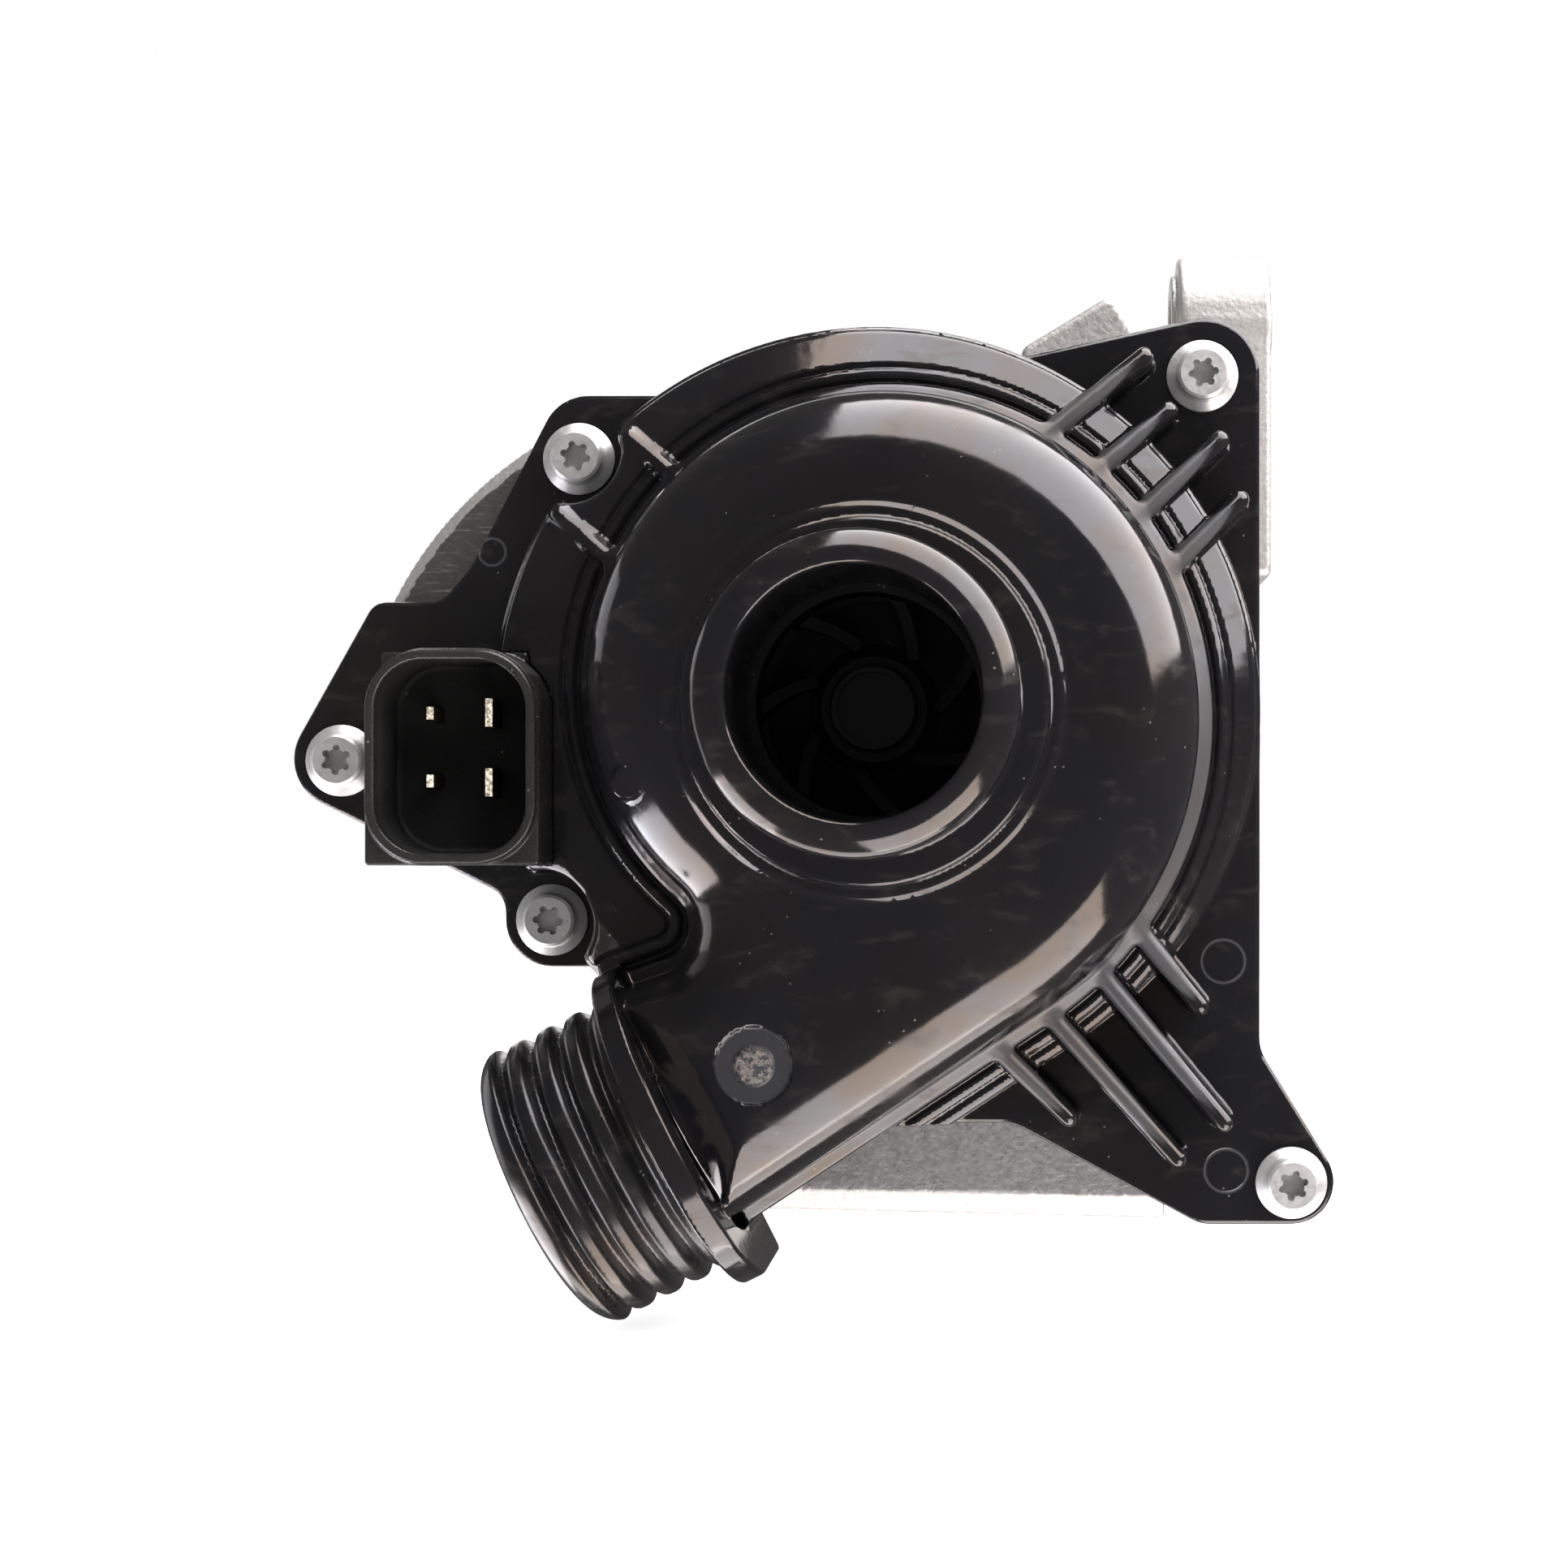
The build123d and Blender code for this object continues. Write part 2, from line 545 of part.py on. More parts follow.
def motor_housing():
    body = housing_outside()
    floor = BARREL_FLOOR - FLOOR_T
    body -= disc(STATOR_R, BARREL_FLOOR, 0)
    body -= disc(CAN_FLANGE_R, HOUSING_FRONT - 0.8, 0)
    body -= ring(43.2, 41.2, HOUSING_FRONT - 2.8, HOUSING_FRONT - 0.7)
    body -= ring(SEAL_R + 1.1, SEAL_R - 1.1, HOUSING_FRONT - 2.0, 0)
    body -= block((STEM_X[0] - STEM_GAP, STEM_X[1] + STEM_GAP),
                  (STEM_Y[0] - STEM_GAP, STEM_Y[1] + STEM_GAP), (floor - 1, 0))
    body -= gasket_block(HOUSING_FRONT - GASKET_T, 0)
    body -= slab(chamber_sketch(CHAMBER_WALL), CHAMBER_REAR - 1, floor)
    body -= slab(seal_sketch(), CHAMBER_REAR - 1, CHAMBER_REAR + REAR_SEAL_T)
    for x, y in BOARD_SCREWS:
        body += disc(3.4, BOARD_Z, floor + 1, x, y)
        body -= disc(1.5, BOARD_Z - 1, BOARD_Z + 7, x, y)
    for x, y in SCREWS:
        body -= disc(SCREW_R, -22, 0, x, y)
    for x, y in rear_screw_places():
        body -= disc(REAR_SCREW_R, CHAMBER_REAR - 1, CHAMBER_REAR + 11, x, y)
    for hole in lug_holes():
        body -= hole
    for angle in PHASE_ANGLES:
        body -= disc(3.0, floor - 1, BARREL_FLOOR + 1, *polar(PHASE_R, angle))
    return body


# ---- motor, fixed pieces ------------------------------------------------------------

def bearing_carrier():
    """Plate behind the impeller, with a boss that holds the front bearing."""
    body = turned([
        (BEARING_R, -19), (12, -19), (13.5, -8), (17.5, HOUSING_FRONT),
        (POCKET_R - 0.2, HOUSING_FRONT), (POCKET_R - 0.2, CARRIER_FRONT - 1),
        (POCKET_R - 1.2, CARRIER_FRONT), (12, CARRIER_FRONT), (10.5, 1.2), (BEARING_R, 1.2)])
    for i in range(6):
        body -= disc(1.6, -8, 4, *polar(15.0, 60 * i + 30))
    return body


def carbon_bearing(z0, z1):
    return ring(BEARING_R, SHAFT_R + RUNNING_GAP, z0, z1)


def thrust_washer():
    return ring(8.0, SHAFT_R + 0.5, -19.9, -19.0)


def rotor_can():
    """Thin deep-drawn can between the wet rotor and the dry stator."""
    top = HOUSING_FRONT - 0.8
    return turned([
        (CAN_R - CAN_WALL, HOUSING_FRONT), (CAN_FLANGE_R, HOUSING_FRONT), (CAN_FLANGE_R, top),
        (CAN_R, top), (CAN_R, CAN_REAR + 6), (BEARING_R + CAN_WALL, CAN_REAR + 6),
        (BEARING_R + CAN_WALL, CAN_REAR - 4), (0, CAN_REAR - 4), (0, CAN_REAR - 4 + CAN_WALL),
        (BEARING_R, CAN_REAR - 4 + CAN_WALL), (BEARING_R, CAN_REAR + 6 + CAN_WALL),
        (CAN_R - CAN_WALL, CAN_REAR + 6 + CAN_WALL)])


def can_seal():
    return ring(43.2, 41.2, HOUSING_FRONT - 2.8, HOUSING_FRONT - 0.8)


def stator_core():
    """Laminated ring with straight teeth and wide tooth tips."""
    gap_r = CAN_R + 0.2
    body = ring(STATOR_R, STATOR_R - 6, STATOR_REAR, STATOR_FRONT)
    for i in range(TEETH):
        tooth = block((gap_r + 2, STATOR_R - 5), (-2.6, 2.6), (STATOR_REAR, STATOR_FRONT))
        body += Rot(0, 0, 360 / TEETH * i) * tooth
    body += ring(gap_r + 2.6, gap_r, STATOR_REAR, STATOR_FRONT)
    for i in range(TEETH):
        slot = block((gap_r - 1, gap_r + 4), (-0.8, 0.8), (STATOR_REAR - 1, STATOR_FRONT + 1))
        body -= Rot(0, 0, 360 / TEETH * (i + 0.5)) * slot
    return body


def stator_insulator(z0, z1):
    """Plastic end frame that keeps the windings off the laminations."""
    inner = CAN_R + 0.4
    body = ring(STATOR_R - 1, STATOR_R - 3.5, z0, z1) + ring(inner + 2, inner, z0, z1)
    low, high = (z0, z0 + 1.2) if z0 > STATOR_REAR else (z1 - 1.2, z1)
    for i in range(TEETH):
        bar = block((inner + 1, STATOR_R - 3), (-2.6, 2.6), (low, high))
        body += Rot(0, 0, 360 / TEETH * i) * bar
    return body


def stator_insulators():
    front = stator_insulator(STATOR_FRONT, STATOR_FRONT + 7)
    rear = stator_insulator(STATOR_REAR - 7, STATOR_REAR)
    return Compound([front.solid(), rear.solid()])


def stator_coils():
    """One winding round each tooth, a rounded rectangular loop."""
    x0, x1 = CAN_R + 4.0, STATOR_R - 6.6
    z0, z1 = STATOR_REAR - 5.2, STATOR_FRONT + 5.2
    middle = (z0 + z1) / 2
    outer = RectangleRounded(10.4, z1 - z0, 3.0)
    hole = Rectangle(5.4, STATOR_FRONT - STATOR_REAR + 2.6)
    coil = extrude(Plane(origin=(x0, 0, middle), x_dir=(0, 1, 0), z_dir=(1, 0, 0)) * (
        outer - hole), amount=x1 - x0)
    wedge = 180 / TEETH - 2.0
    for side in (1, -1):
        coil -= Rot(0, 0, side * wedge) * block(
            (0, 60), (0, 30) if side > 0 else (-30, 0), (z0 - 5, z1 + 5))
    return Compound([(Rot(0, 0, 360 / TEETH * i) * coil).solid() for i in range(TEETH)])


def phase_leads():
    """Three busbars from the windings to the board."""
    leads = [disc(1.2, BOARD_Z, STATOR_REAR - 5.2, *polar(PHASE_R, a)) for a in PHASE_ANGLES]
    return Compound([lead.solid() for lead in leads])


# ---- rotor --------------------------------------------------------------------------

def rotor_shaft():
    body = disc(SHAFT_R, CAN_REAR - 3.0, 9.0)
    body += disc(3.5, 9.0, 13.5)
    return chamfer(body.edges().group_by(Axis.Z)[0], 0.5)


def rotor_core():
    return ring(MAGNET_R - MAGNET_T, SHAFT_R, ROTOR_REAR, ROTOR_FRONT)


def rotor_magnets():
    band = ring(MAGNET_R, MAGNET_R - MAGNET_T, ROTOR_REAR, ROTOR_FRONT)
    gaps = [Rot(0, 0, 360 / MAGNETS * i) * block(
        (10, 20), (-0.4, 0.4), (ROTOR_REAR - 1, ROTOR_FRONT + 1)) for i in range(MAGNETS)]
    for gap in gaps:
        band -= gap
    return Compound(band.solids())


def rotor_sleeve():
    return ring(MAGNET_R + 0.4, MAGNET_R, ROTOR_REAR, ROTOR_FRONT)


def rotor_end_caps():
    caps = [ring(MAGNET_R + 0.2, SHAFT_R, ROTOR_FRONT, ROTOR_FRONT + 1.2),
            ring(MAGNET_R + 0.2, SHAFT_R, ROTOR_REAR - 1.2, ROTOR_REAR)]
    return Compound([cap.solid() for cap in caps])


def shroud_height(r):
    """Underside of the front shroud, falling from the eye to the rim."""
    return 20.0 - (r - EYE_R) * 0.45


def blade(index):
    """Backward-curved blade: it trails as the rotor turns clockwise from the front."""
    inner_r, outer_r, wrap = 9.0, IMPELLER_R - 0.6, 62.0
    start = 360 / BLADES * index
    path = [polar(inner_r + (outer_r - inner_r) * t, start + wrap * t ** 0.8)
            for t in (0, 0.25, 0.5, 0.75, 1.0)]
    line = Spline(*path)
    web = slab(trace(line, 1.6), IMPELLER_BACK + 1, 20.0)
    top = turned([(0, 30), (40, 30), (40, shroud_height(40)), (EYE_R, shroud_height(EYE_R)),
                  (EYE_R, 17.0), (0, 9.0)])
    return web - top


def impeller():
    body = turned([
        (SHAFT_R, IMPELLER_BACK - 1.0), (8.6, IMPELLER_BACK - 1.0), (8.6, IMPELLER_BACK),
        (IMPELLER_R, IMPELLER_BACK), (IMPELLER_R, IMPELLER_BACK + 2), (16, IMPELLER_BACK + 2.6),
        (9.5, 9.0), (7.6, 12.0), (SHAFT_R, 12.0)])
    body -= disc(SHAFT_R, 0, 9.0)
    body += ring(SHAFT_R + 0.1, 3.5, 9.0, 12.0)
    for i in range(BLADES):
        body += blade(i)
    return body


def impeller_shroud():
    """Front shroud of the impeller with its eye ring."""
    rim = shroud_height(IMPELLER_R)
    eye = shroud_height(EYE_R)
    return turned([
        (EYE_R, eye), (IMPELLER_R, rim), (IMPELLER_R, rim + 1.8), (EYE_R + 3.6, eye + 1.2),
        (EYE_R + 1.9, eye + 3.0), (EYE_R + 1.9, 27.6), (EYE_R, 27.6)])


def impeller_cap():
    """Cap ring in the middle of the eye that holds the impeller on the shaft."""
    body = disc(6.3, 12.0, 16.2)
    body -= disc(5.2, 14.6, 17)
    body -= disc(3.5, 11, 13.5)
    return chamfer(body.edges().group_by(Axis.Z)[-1].sort_by(SortBy.LENGTH)[-1:], 0.4)


# ---- electronics and rear cover -----------------------------------------------------

def circuit_board():
    outline = chamber_sketch(CHAMBER_WALL + 0.6)
    body = slab(outline, BOARD_Z - BOARD_T, BOARD_Z)
    for x, y in POWER_PINS:
        body -= pin(x, y, POWER_PIN_W, 0, -100)
    for x, y in SIGNAL_PINS:
        body -= pin(x, y, SIGNAL_PIN_W, 0, -100)
    for x, y in BOARD_SCREWS:
        body -= disc(1.6, -100, 0, x, y)
    return body


def capacitors():
    cans = []
    for x, y in CAPACITORS:
        can = disc(5.0, BOARD_Z, BOARD_Z + 9.6, x, y)
        cans.append(fillet(can.edges().group_by(Axis.Z)[-1], 0.8).solid())
    return Compound(cans)


def choke():
    return Pos(-31, 15, BOARD_Z + 3.0) * Torus(6.0, 3.0)


def power_transistors():
    dice = []
    for i in range(6):
        x, y = polar(30, 60 * i + 15)
        dice.append(block((x - 3.2, x + 3.2), (y - 3.2, y + 3.2),
                          (BOARD_Z - BOARD_T - 2.2, BOARD_Z - BOARD_T)).solid())
    return Compound(dice)


def board_screws():
    screws = []
    for x, y in BOARD_SCREWS:
        head = disc(2.8, BOARD_Z - BOARD_T - 2.0, BOARD_Z - BOARD_T, x, y)
        shank = disc(1.5, BOARD_Z - BOARD_T, BOARD_Z + 6, x, y)
        screws.append((head + shank).solid())
    return Compound(screws)


def rear_screw_places():
    places = [polar(REAR_SCREW_CIRCLE, angle) for angle in REAR_SCREW_ANGLES]
    return places + [(LOBE_X + 4, LOBE_Y[0] + 3), (LOBE_X + 4, LOBE_Y[1] - 3)]


def rear_outline():
    outline = chamber_sketch(0)
    for x, y in rear_screw_places():
        outline += Pos(x, y) * Circle(REAR_SCREW_BOSS_R)
    return outline


def rear_cover():
    """Aluminium lid that cools the electronics through a comb of fins."""
    rear = CHAMBER_REAR - REAR_COVER_T
    body = slab(rear_outline(), rear, CHAMBER_REAR)
    area = slab(Circle(CHAMBER_R - 7), rear - FIN_H, rear)
    count = int((CHAMBER_R - 8) / FIN_PITCH)
    for i in range(-count, count + 1):
        fin = block((-60, 60), (i * FIN_PITCH - FIN_T / 2, i * FIN_PITCH + FIN_T / 2),
                    (rear - FIN_H, rear + 0.5))
        body += fin & area
    for x, y in rear_screw_places():
        body -= disc(REAR_SCREW_R + 0.3, rear - 1, 0, x, y)
    return body


def rear_cover_seal():
    return slab(seal_sketch(), CHAMBER_REAR, CHAMBER_REAR + REAR_SEAL_T)


def rear_cover_screw():
    head = disc(3.6, -2.8, 0) - slab(RegularPolygon(1.75, 6), -4, -1.2)
    return head + disc(REAR_SCREW_R, 0, 14)


def rear_cover_screws():
    screw = rear_cover_screw()
    rear = CHAMBER_REAR - REAR_COVER_T
    return Compound([(Pos(x, y, rear) * screw).solid() for x, y in rear_screw_places()])


parts = {
    "volute_cover": volute_cover,
    "cover_sleeves": cover_sleeves,
    "cover_screws": cover_screws,
    "cover_seal": cover_seal,
    "connector_shell": connector_shell,
    "connector_seal": connector_seal,
    "power_pins": lambda: pins(POWER_PINS, POWER_PIN_W),
    "signal_pins": lambda: pins(SIGNAL_PINS, SIGNAL_PIN_W),
    "motor_housing": motor_housing,
    "bearing_carrier": bearing_carrier,
    "front_bearing": lambda: carbon_bearing(-19.0, 1.0),
    "rear_bearing": lambda: carbon_bearing(CAN_REAR - 3.4, CAN_REAR + 6),
    "thrust_washer": thrust_washer,
    "rotor_can": rotor_can,
    "can_seal": can_seal,
    "stator_core": stator_core,
    "stator_insulators": stator_insulators,
    "stator_coils": stator_coils,
    "phase_leads": phase_leads,
    "rotor_shaft": rotor_shaft,
    "rotor_core": rotor_core,
    "rotor_magnets": rotor_magnets,
    "rotor_sleeve": rotor_sleeve,
    "rotor_end_caps": rotor_end_caps,
    "impeller": impeller,
    "impeller_shroud": impeller_shroud,
    "impeller_cap": impeller_cap,
    "circuit_board": circuit_board,
    "capacitors": capacitors,
    "choke": choke,
    "power_transistors": power_transistors,
    "board_screws": board_screws,
    "rear_cover": rear_cover,
    "rear_cover_seal": rear_cover_seal,
    "rear_cover_screws": rear_cover_screws,
}
for name, make in parts.items():
    save(name, make())
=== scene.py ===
import json
import math

import bpy
import numpy as np
from mathutils import Matrix, Vector


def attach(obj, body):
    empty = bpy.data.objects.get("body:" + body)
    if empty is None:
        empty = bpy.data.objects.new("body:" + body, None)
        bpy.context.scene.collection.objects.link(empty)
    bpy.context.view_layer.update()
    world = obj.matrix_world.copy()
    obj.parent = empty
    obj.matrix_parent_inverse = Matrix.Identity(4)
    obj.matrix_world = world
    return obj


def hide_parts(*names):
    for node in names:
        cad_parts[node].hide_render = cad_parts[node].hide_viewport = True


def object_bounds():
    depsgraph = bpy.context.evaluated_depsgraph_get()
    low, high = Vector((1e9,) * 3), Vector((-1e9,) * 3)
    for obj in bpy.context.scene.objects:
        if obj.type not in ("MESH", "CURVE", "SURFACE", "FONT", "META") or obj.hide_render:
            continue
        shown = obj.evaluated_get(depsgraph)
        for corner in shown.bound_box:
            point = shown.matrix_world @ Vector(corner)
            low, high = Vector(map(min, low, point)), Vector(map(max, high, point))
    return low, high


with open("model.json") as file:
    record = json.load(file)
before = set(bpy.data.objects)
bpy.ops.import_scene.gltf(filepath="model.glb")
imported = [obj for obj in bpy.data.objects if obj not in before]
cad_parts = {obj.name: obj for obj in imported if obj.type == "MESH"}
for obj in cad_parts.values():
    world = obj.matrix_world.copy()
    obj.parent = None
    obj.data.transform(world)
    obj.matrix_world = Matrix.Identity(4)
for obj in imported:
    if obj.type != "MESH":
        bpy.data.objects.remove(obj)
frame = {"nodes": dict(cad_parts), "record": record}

CAD_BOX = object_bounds()

# Electric coolant pump. The moulded and cast pieces are drawn here as distance fields in
# millimetres: x to the right, y up, z towards the inlet, on the rotor's axis, with z = 0
# at the front face of the cover's flange. to_row() turns them into the frame.

MM = 0.001
BORE_R = 16.4
COLLAR_R = 25.2
COLLAR_FOOT_R = 26.9
COLLAR_TOP = 36.0
INLET_MOUTH = 61.0

NECK_CREST_R = 21.02
NECK_GROOVE = 1.4
NECK_PITCH = 4.45
NECK_FIRST_CREST = 6.7
NECK_BEAD_R = 21.4
NECK_ROOT_R = 21.0

VOLUTE_START_R = 35.7
VOLUTE_START_ANGLE = 246.6
VOLUTE_RADII = (38.0, 41.5, 44.0, 49.7)
VOLUTE_SWEEP = 307.6
VOLUTE_TOP = 34.0
SHOULDER_R = 12.6
TONGUE_R = 7.5
WALL = 2.6
CHAMBER_MOUTH_R = 31.2
EYE_ROOM_R = 17.9

OUTLET_ANGLE = 206.5
OUTLET_OFFSET = 41.0
OUTLET_HEIGHT = 15.0
OUTLET_BORE_R = 17.0
OUTLET_LENGTH = 20.5
DUCT_R = (11.0, 16.2)        # at the duct's start and end
DUCT_BORE_R = (8.8, 14.2)
LOWER_WALL_ANGLE = 213.5
UPPER_WALL_OFFSET = 20.0
PLATE_FACE = 53.0
PLATE_T = 3.7
PLATE_HALF = 24.3

DRUM_R = 56.1
DRUM_TOP = 8.6
FLANGE_T = 6.0
FLANGE_CORNERS = [           # x, y, corner radius
    (-47.5, 47.2, 7.0), (-28.0, 47.2, 1.0), (5.0, 49.4, 1.0), (56.6, 60.7, 8.4),
    (56.6, -50.0, 6.0), (72.6, -76.0, 6.3), (47.7, -76.0, 5.0), (19.9, -60.9, 8.0),
    (-8.0, -60.9, 1.0), (-38.0, -37.7, 1.0), (-55.5, -37.7, 7.0), (-55.5, -27.1, 4.0),
    (-89.8, -9.9, 7.3), (-75.0, 16.5, 3.0), (-65.0, 16.5, 4.0), (-60.5, 21.9, 15.0),
]
SCREWS = [(48.0, 49.9), (-44.4, 37.6), (-79.6, -7.1), (-48.4, -30.7), (61.2, -69.7)]
RIBS = [                     # start x, start y, angle, length
    (23.6, 38.6, 39.5, 20.0), (30.0, 32.8, 40.5, 16.5), (36.3, 26.2, 43.5, 19.0),
    (40.9, 18.6, 45.0, 17.0), (37.4, -31.0, -51.0, 15.5), (31.6, -36.8, -50.5, 30.0),
    (24.1, -42.6, -48.6, 30.0), (17.0, -48.0, -45.0, 15.8), (-27.0, 32.2, 140.0, 11.5),
    (-36.5, 20.2, 138.5, 12.5),
]
RIB_HALF = 1.4
RIB_TOP, RIB_FALL, RIB_ROUND = 14.8, 3.6, 2.2
START_BOSS = (-33.0, -11.0)
START_BOSS_R, START_BOSS_TOP = 2.2, 31.2
GATE_MARK = (-15.3, -49.6)
GATE_R, GATE_DEPTH = 5.3, 0.45
EJECTOR_MARKS = [(51.2, -36.9, 3.2), (51.6, -68.0, 3.2), (-57.4, 23.9, 2.0)]   # x, y, radius
SEAT_R = 47.6
SLEEVE_HOLE_R = 3.6

SOCKET_X = (-71.2, -46.6)
SOCKET_Y = (-22.4, 8.2)
SOCKET_BLOCK_TOP = 22.0
SOCKET_STEP_X = -50.0
SOCKET_MOUTH = 23.6
SOCKET_FLOOR = 9.0
SOCKET_WALL = 1.7
SOCKET_CORNER_R = 8.6
STEM_X, STEM_Y = (-68.0, -52.6), (-16.0, 5.0)

HOUSING_FRONT = -FLANGE_T
FACE_REAR = -16.0
BULGE = (-20.5, -9.8, 59.7)
BULGE_AREA = (-61.5, 29.5)
BARREL_R = 46.0
STATOR_R = 40.0
BARREL_FLOOR = -70.0
CHAMBER_R = 53.0
CHAMBER_REAR = -90.0
LOBE_X, LOBE_Y = (-73.0, -30.0), (-21.5, 12.0)
FOOT_X, FOOT_Y, FOOT_REAR = (-17.5, 42.8), (-76.3, -40.0), -34.0
TOP_BOSS, TOP_BOSS_TURN = (30.0, 56.5), 31
SCREW_BOSS_R, SCREW_HOLE_R, SCREW_HOLE_END = 6.2, 2.5, -22
MOUNT_FACE = 60.0
PINS = [(-54.9, -0.6, 2.05), (-54.9, -10.6, 2.05), (-63.3, -0.7, 0.95), (-63.3, -10.4, 0.95)]
LUGS = [(63.4, -30.0), (38.0, -76.0), (-57.0, -62.0)]
LUG_R, LUG_T, LUG_HOLE_R, LUG_HOLE_DEPTH = 10.0, 14.3, 3.5, 20.0
REAR_TOP = -94.0
FIN_END = -99.0
REAR_SCREWS = [(50 * math.cos(math.radians(a)), 50 * math.sin(math.radians(a)))
               for a in (20, 70, 115, 245, 290, 335)] + [(-69.0, -18.5), (-69.0, 9.0)]


def to_row(points):
    """Drawing millimetres to the row frame's metres."""
    return np.column_stack((points[:, 0], INLET_MOUTH - points[:, 2], points[:, 1])) * MM


# ---- distance fields ----------------------------------------------------------------

def polar(r, angle):
    return (r * math.cos(math.radians(angle)), r * math.sin(math.radians(angle)))


def arc_points(centre, r, start, sweep, step=3.0):
    count = max(2, int(abs(sweep) / step) + 1)
    return [(centre[0] + polar(r, start + sweep * i / count)[0],
             centre[1] + polar(r, start + sweep * i / count)[1]) for i in range(count + 1)]


def rounded(corners):
    """Closed outline through (x, y, radius) corners, with each corner made round."""
    out = []
    for i, (x, y, r) in enumerate(corners):
        p = np.array((x, y), float)
        a = np.array(corners[i - 1][:2], float) - p
        b = np.array(corners[(i + 1) % len(corners)][:2], float) - p
        a /= np.linalg.norm(a)
        b /= np.linalg.norm(b)
        half = math.acos(np.clip(a @ b, -1, 1)) / 2
        if r <= 0.01 or half > 1.55:
            out.append((x, y))
            continue
        centre = p + (a + b) / np.linalg.norm(a + b) * r / math.sin(half)
        t0 = p + a * r / math.tan(half) - centre
        t1 = p + b * r / math.tan(half) - centre
        start = math.degrees(math.atan2(t0[1], t0[0]))
        sweep = math.degrees(math.atan2(t1[1], t1[0])) - start
        sweep = (sweep + 180) % 360 - 180
        out += arc_points(centre, r, start, sweep, 5.0)
    return out


class Outline:
    """Signed distance to a closed outline, on a grid that is read with cubic B-splines."""

    def __init__(self, points, step=0.5, margin=14.0):
        p = np.array(points, float)
        self.step = step
        self.low = p.min(0) - margin
        size = np.ceil((p.max(0) - p.min(0) + 2 * margin) / step).astype(int) + 4
        self.size = size
        x = self.low[0] + step * np.arange(size[0])[:, None]
        y = self.low[1] + step * np.arange(size[1])[None, :]
        near = np.full(size, 1e12)
        inside = np.zeros(size, bool)
        for a, b in zip(p, np.roll(p, -1, 0)):
            e = b - a
            length = e @ e
            if length < 1e-12:
                continue
            t = np.clip(((x - a[0]) * e[0] + (y - a[1]) * e[1]) / length, 0, 1)
            near = np.minimum(near, (x - a[0] - t * e[0]) ** 2 + (y - a[1] - t * e[1]) ** 2)
            if a[1] != b[1]:
                crosses = (a[1] > y) != (b[1] > y)
                inside ^= crosses & (x < e[0] * (y - a[1]) / e[1] + a[0])
        self.values = (np.sqrt(near) * np.where(inside, -1, 1)).astype(np.float32).ravel()

    def __call__(self, x, y):
        u = np.clip((x - self.low[0]) / self.step, 1.001, self.size[0] - 2.001)
        v = np.clip((y - self.low[1]) / self.step, 1.001, self.size[1] - 2.001)
        i = u.astype(np.int32)
        j = v.astype(np.int32)
        wu = spline_weights((u - i).astype(np.float32))
        wv = spline_weights((v - j).astype(np.float32))
        width = self.size[1]
        base = (i - 1) * width + j - 1
        total = 0
        for a in range(4):
            row = base + a * width
            part = wv[0] * self.values[row]
            for b in range(1, 4):
                part += wv[b] * self.values[row + b]
            total = total + wu[a] * part
        return total


def spline_weights(t):
    s = 1 - t
    return (s * s * s / 6, (4 - 6 * t * t + 3 * t * t * t) / 6,
            (4 - 6 * s * s + 3 * s * s * s) / 6, t * t * t / 6)


def join(a, b, k=0.0):
    """Union, blended over about k."""
    if np.isscalar(k) and k == 0:
        return np.minimum(a, b)
    h = np.clip(0.5 + 0.5 * (b - a) / k, 0, 1)
    return b + (a - b) * h - k * h * (1 - h)


def cut(a, b, k=0.0):
    """a without b, with the edge rounded over about k."""
    return -join(-a, b, k)


def prism(plan, z, z0, z1, r=0.0, foot=0.0):
    """Outline made solid between two heights, its upper edge rounded by r."""
    half, middle = (z1 - z0) / 2, (z1 + z0) / 2
    round_r = np.where(z > middle, r, foot)
    side = plan + round_r
    up = np.abs(z - middle) - half + round_r
    return (np.hypot(np.maximum(side, 0), np.maximum(up, 0))
            + np.minimum(np.maximum(side, up), 0) - round_r)


def box2(x, y, xs, ys, r=0.0):
    """Rectangle in plan with round corners."""
    qx = np.abs(x - (xs[0] + xs[1]) / 2) - (xs[1] - xs[0]) / 2 + r
    qy = np.abs(y - (ys[0] + ys[1]) / 2) - (ys[1] - ys[0]) / 2 + r
    return np.hypot(np.maximum(qx, 0), np.maximum(qy, 0)) + np.minimum(np.maximum(qx, qy), 0) - r


def disc2(x, y, centre, r):
    return np.hypot(x - centre[0], y - centre[1]) - r


def slot2(x, y, start, end, r):
    """Distance in plan to a straight slot."""
    ex, ey = end[0] - start[0], end[1] - start[1]
    t = np.clip(((x - start[0]) * ex + (y - start[1]) * ey) / (ex * ex + ey * ey), 0, 1)
    return np.hypot(x - start[0] - t * ex, y - start[1] - t * ey) - r, t


def tube(x, y, z, a, b, ra, rb):
    """Cone-shaped rod between two points."""
    a, b = np.array(a), np.array(b)
    e = b - a
    t = np.clip(((x - a[0]) * e[0] + (y - a[1]) * e[1] + (z - a[2]) * e[2]) / (e @ e), 0, 1)
    return np.sqrt((x - a[0] - t * e[0]) ** 2 + (y - a[1] - t * e[1]) ** 2
                   + (z - a[2] - t * e[2]) ** 2) - (ra + (rb - ra) * t)


def blend_where(d, mask, other, k):
    """Adds a small feature, worked out only where mask is true."""
    if mask.any():
        d[mask] = join(d[mask], other(mask), k)


# ---- surfaces from fields -----------------------------------------------------------

CORNERS = [(i, j, k) for i in (0, 1) for j in (0, 1) for k in (0, 1)]
BLOCK = 8


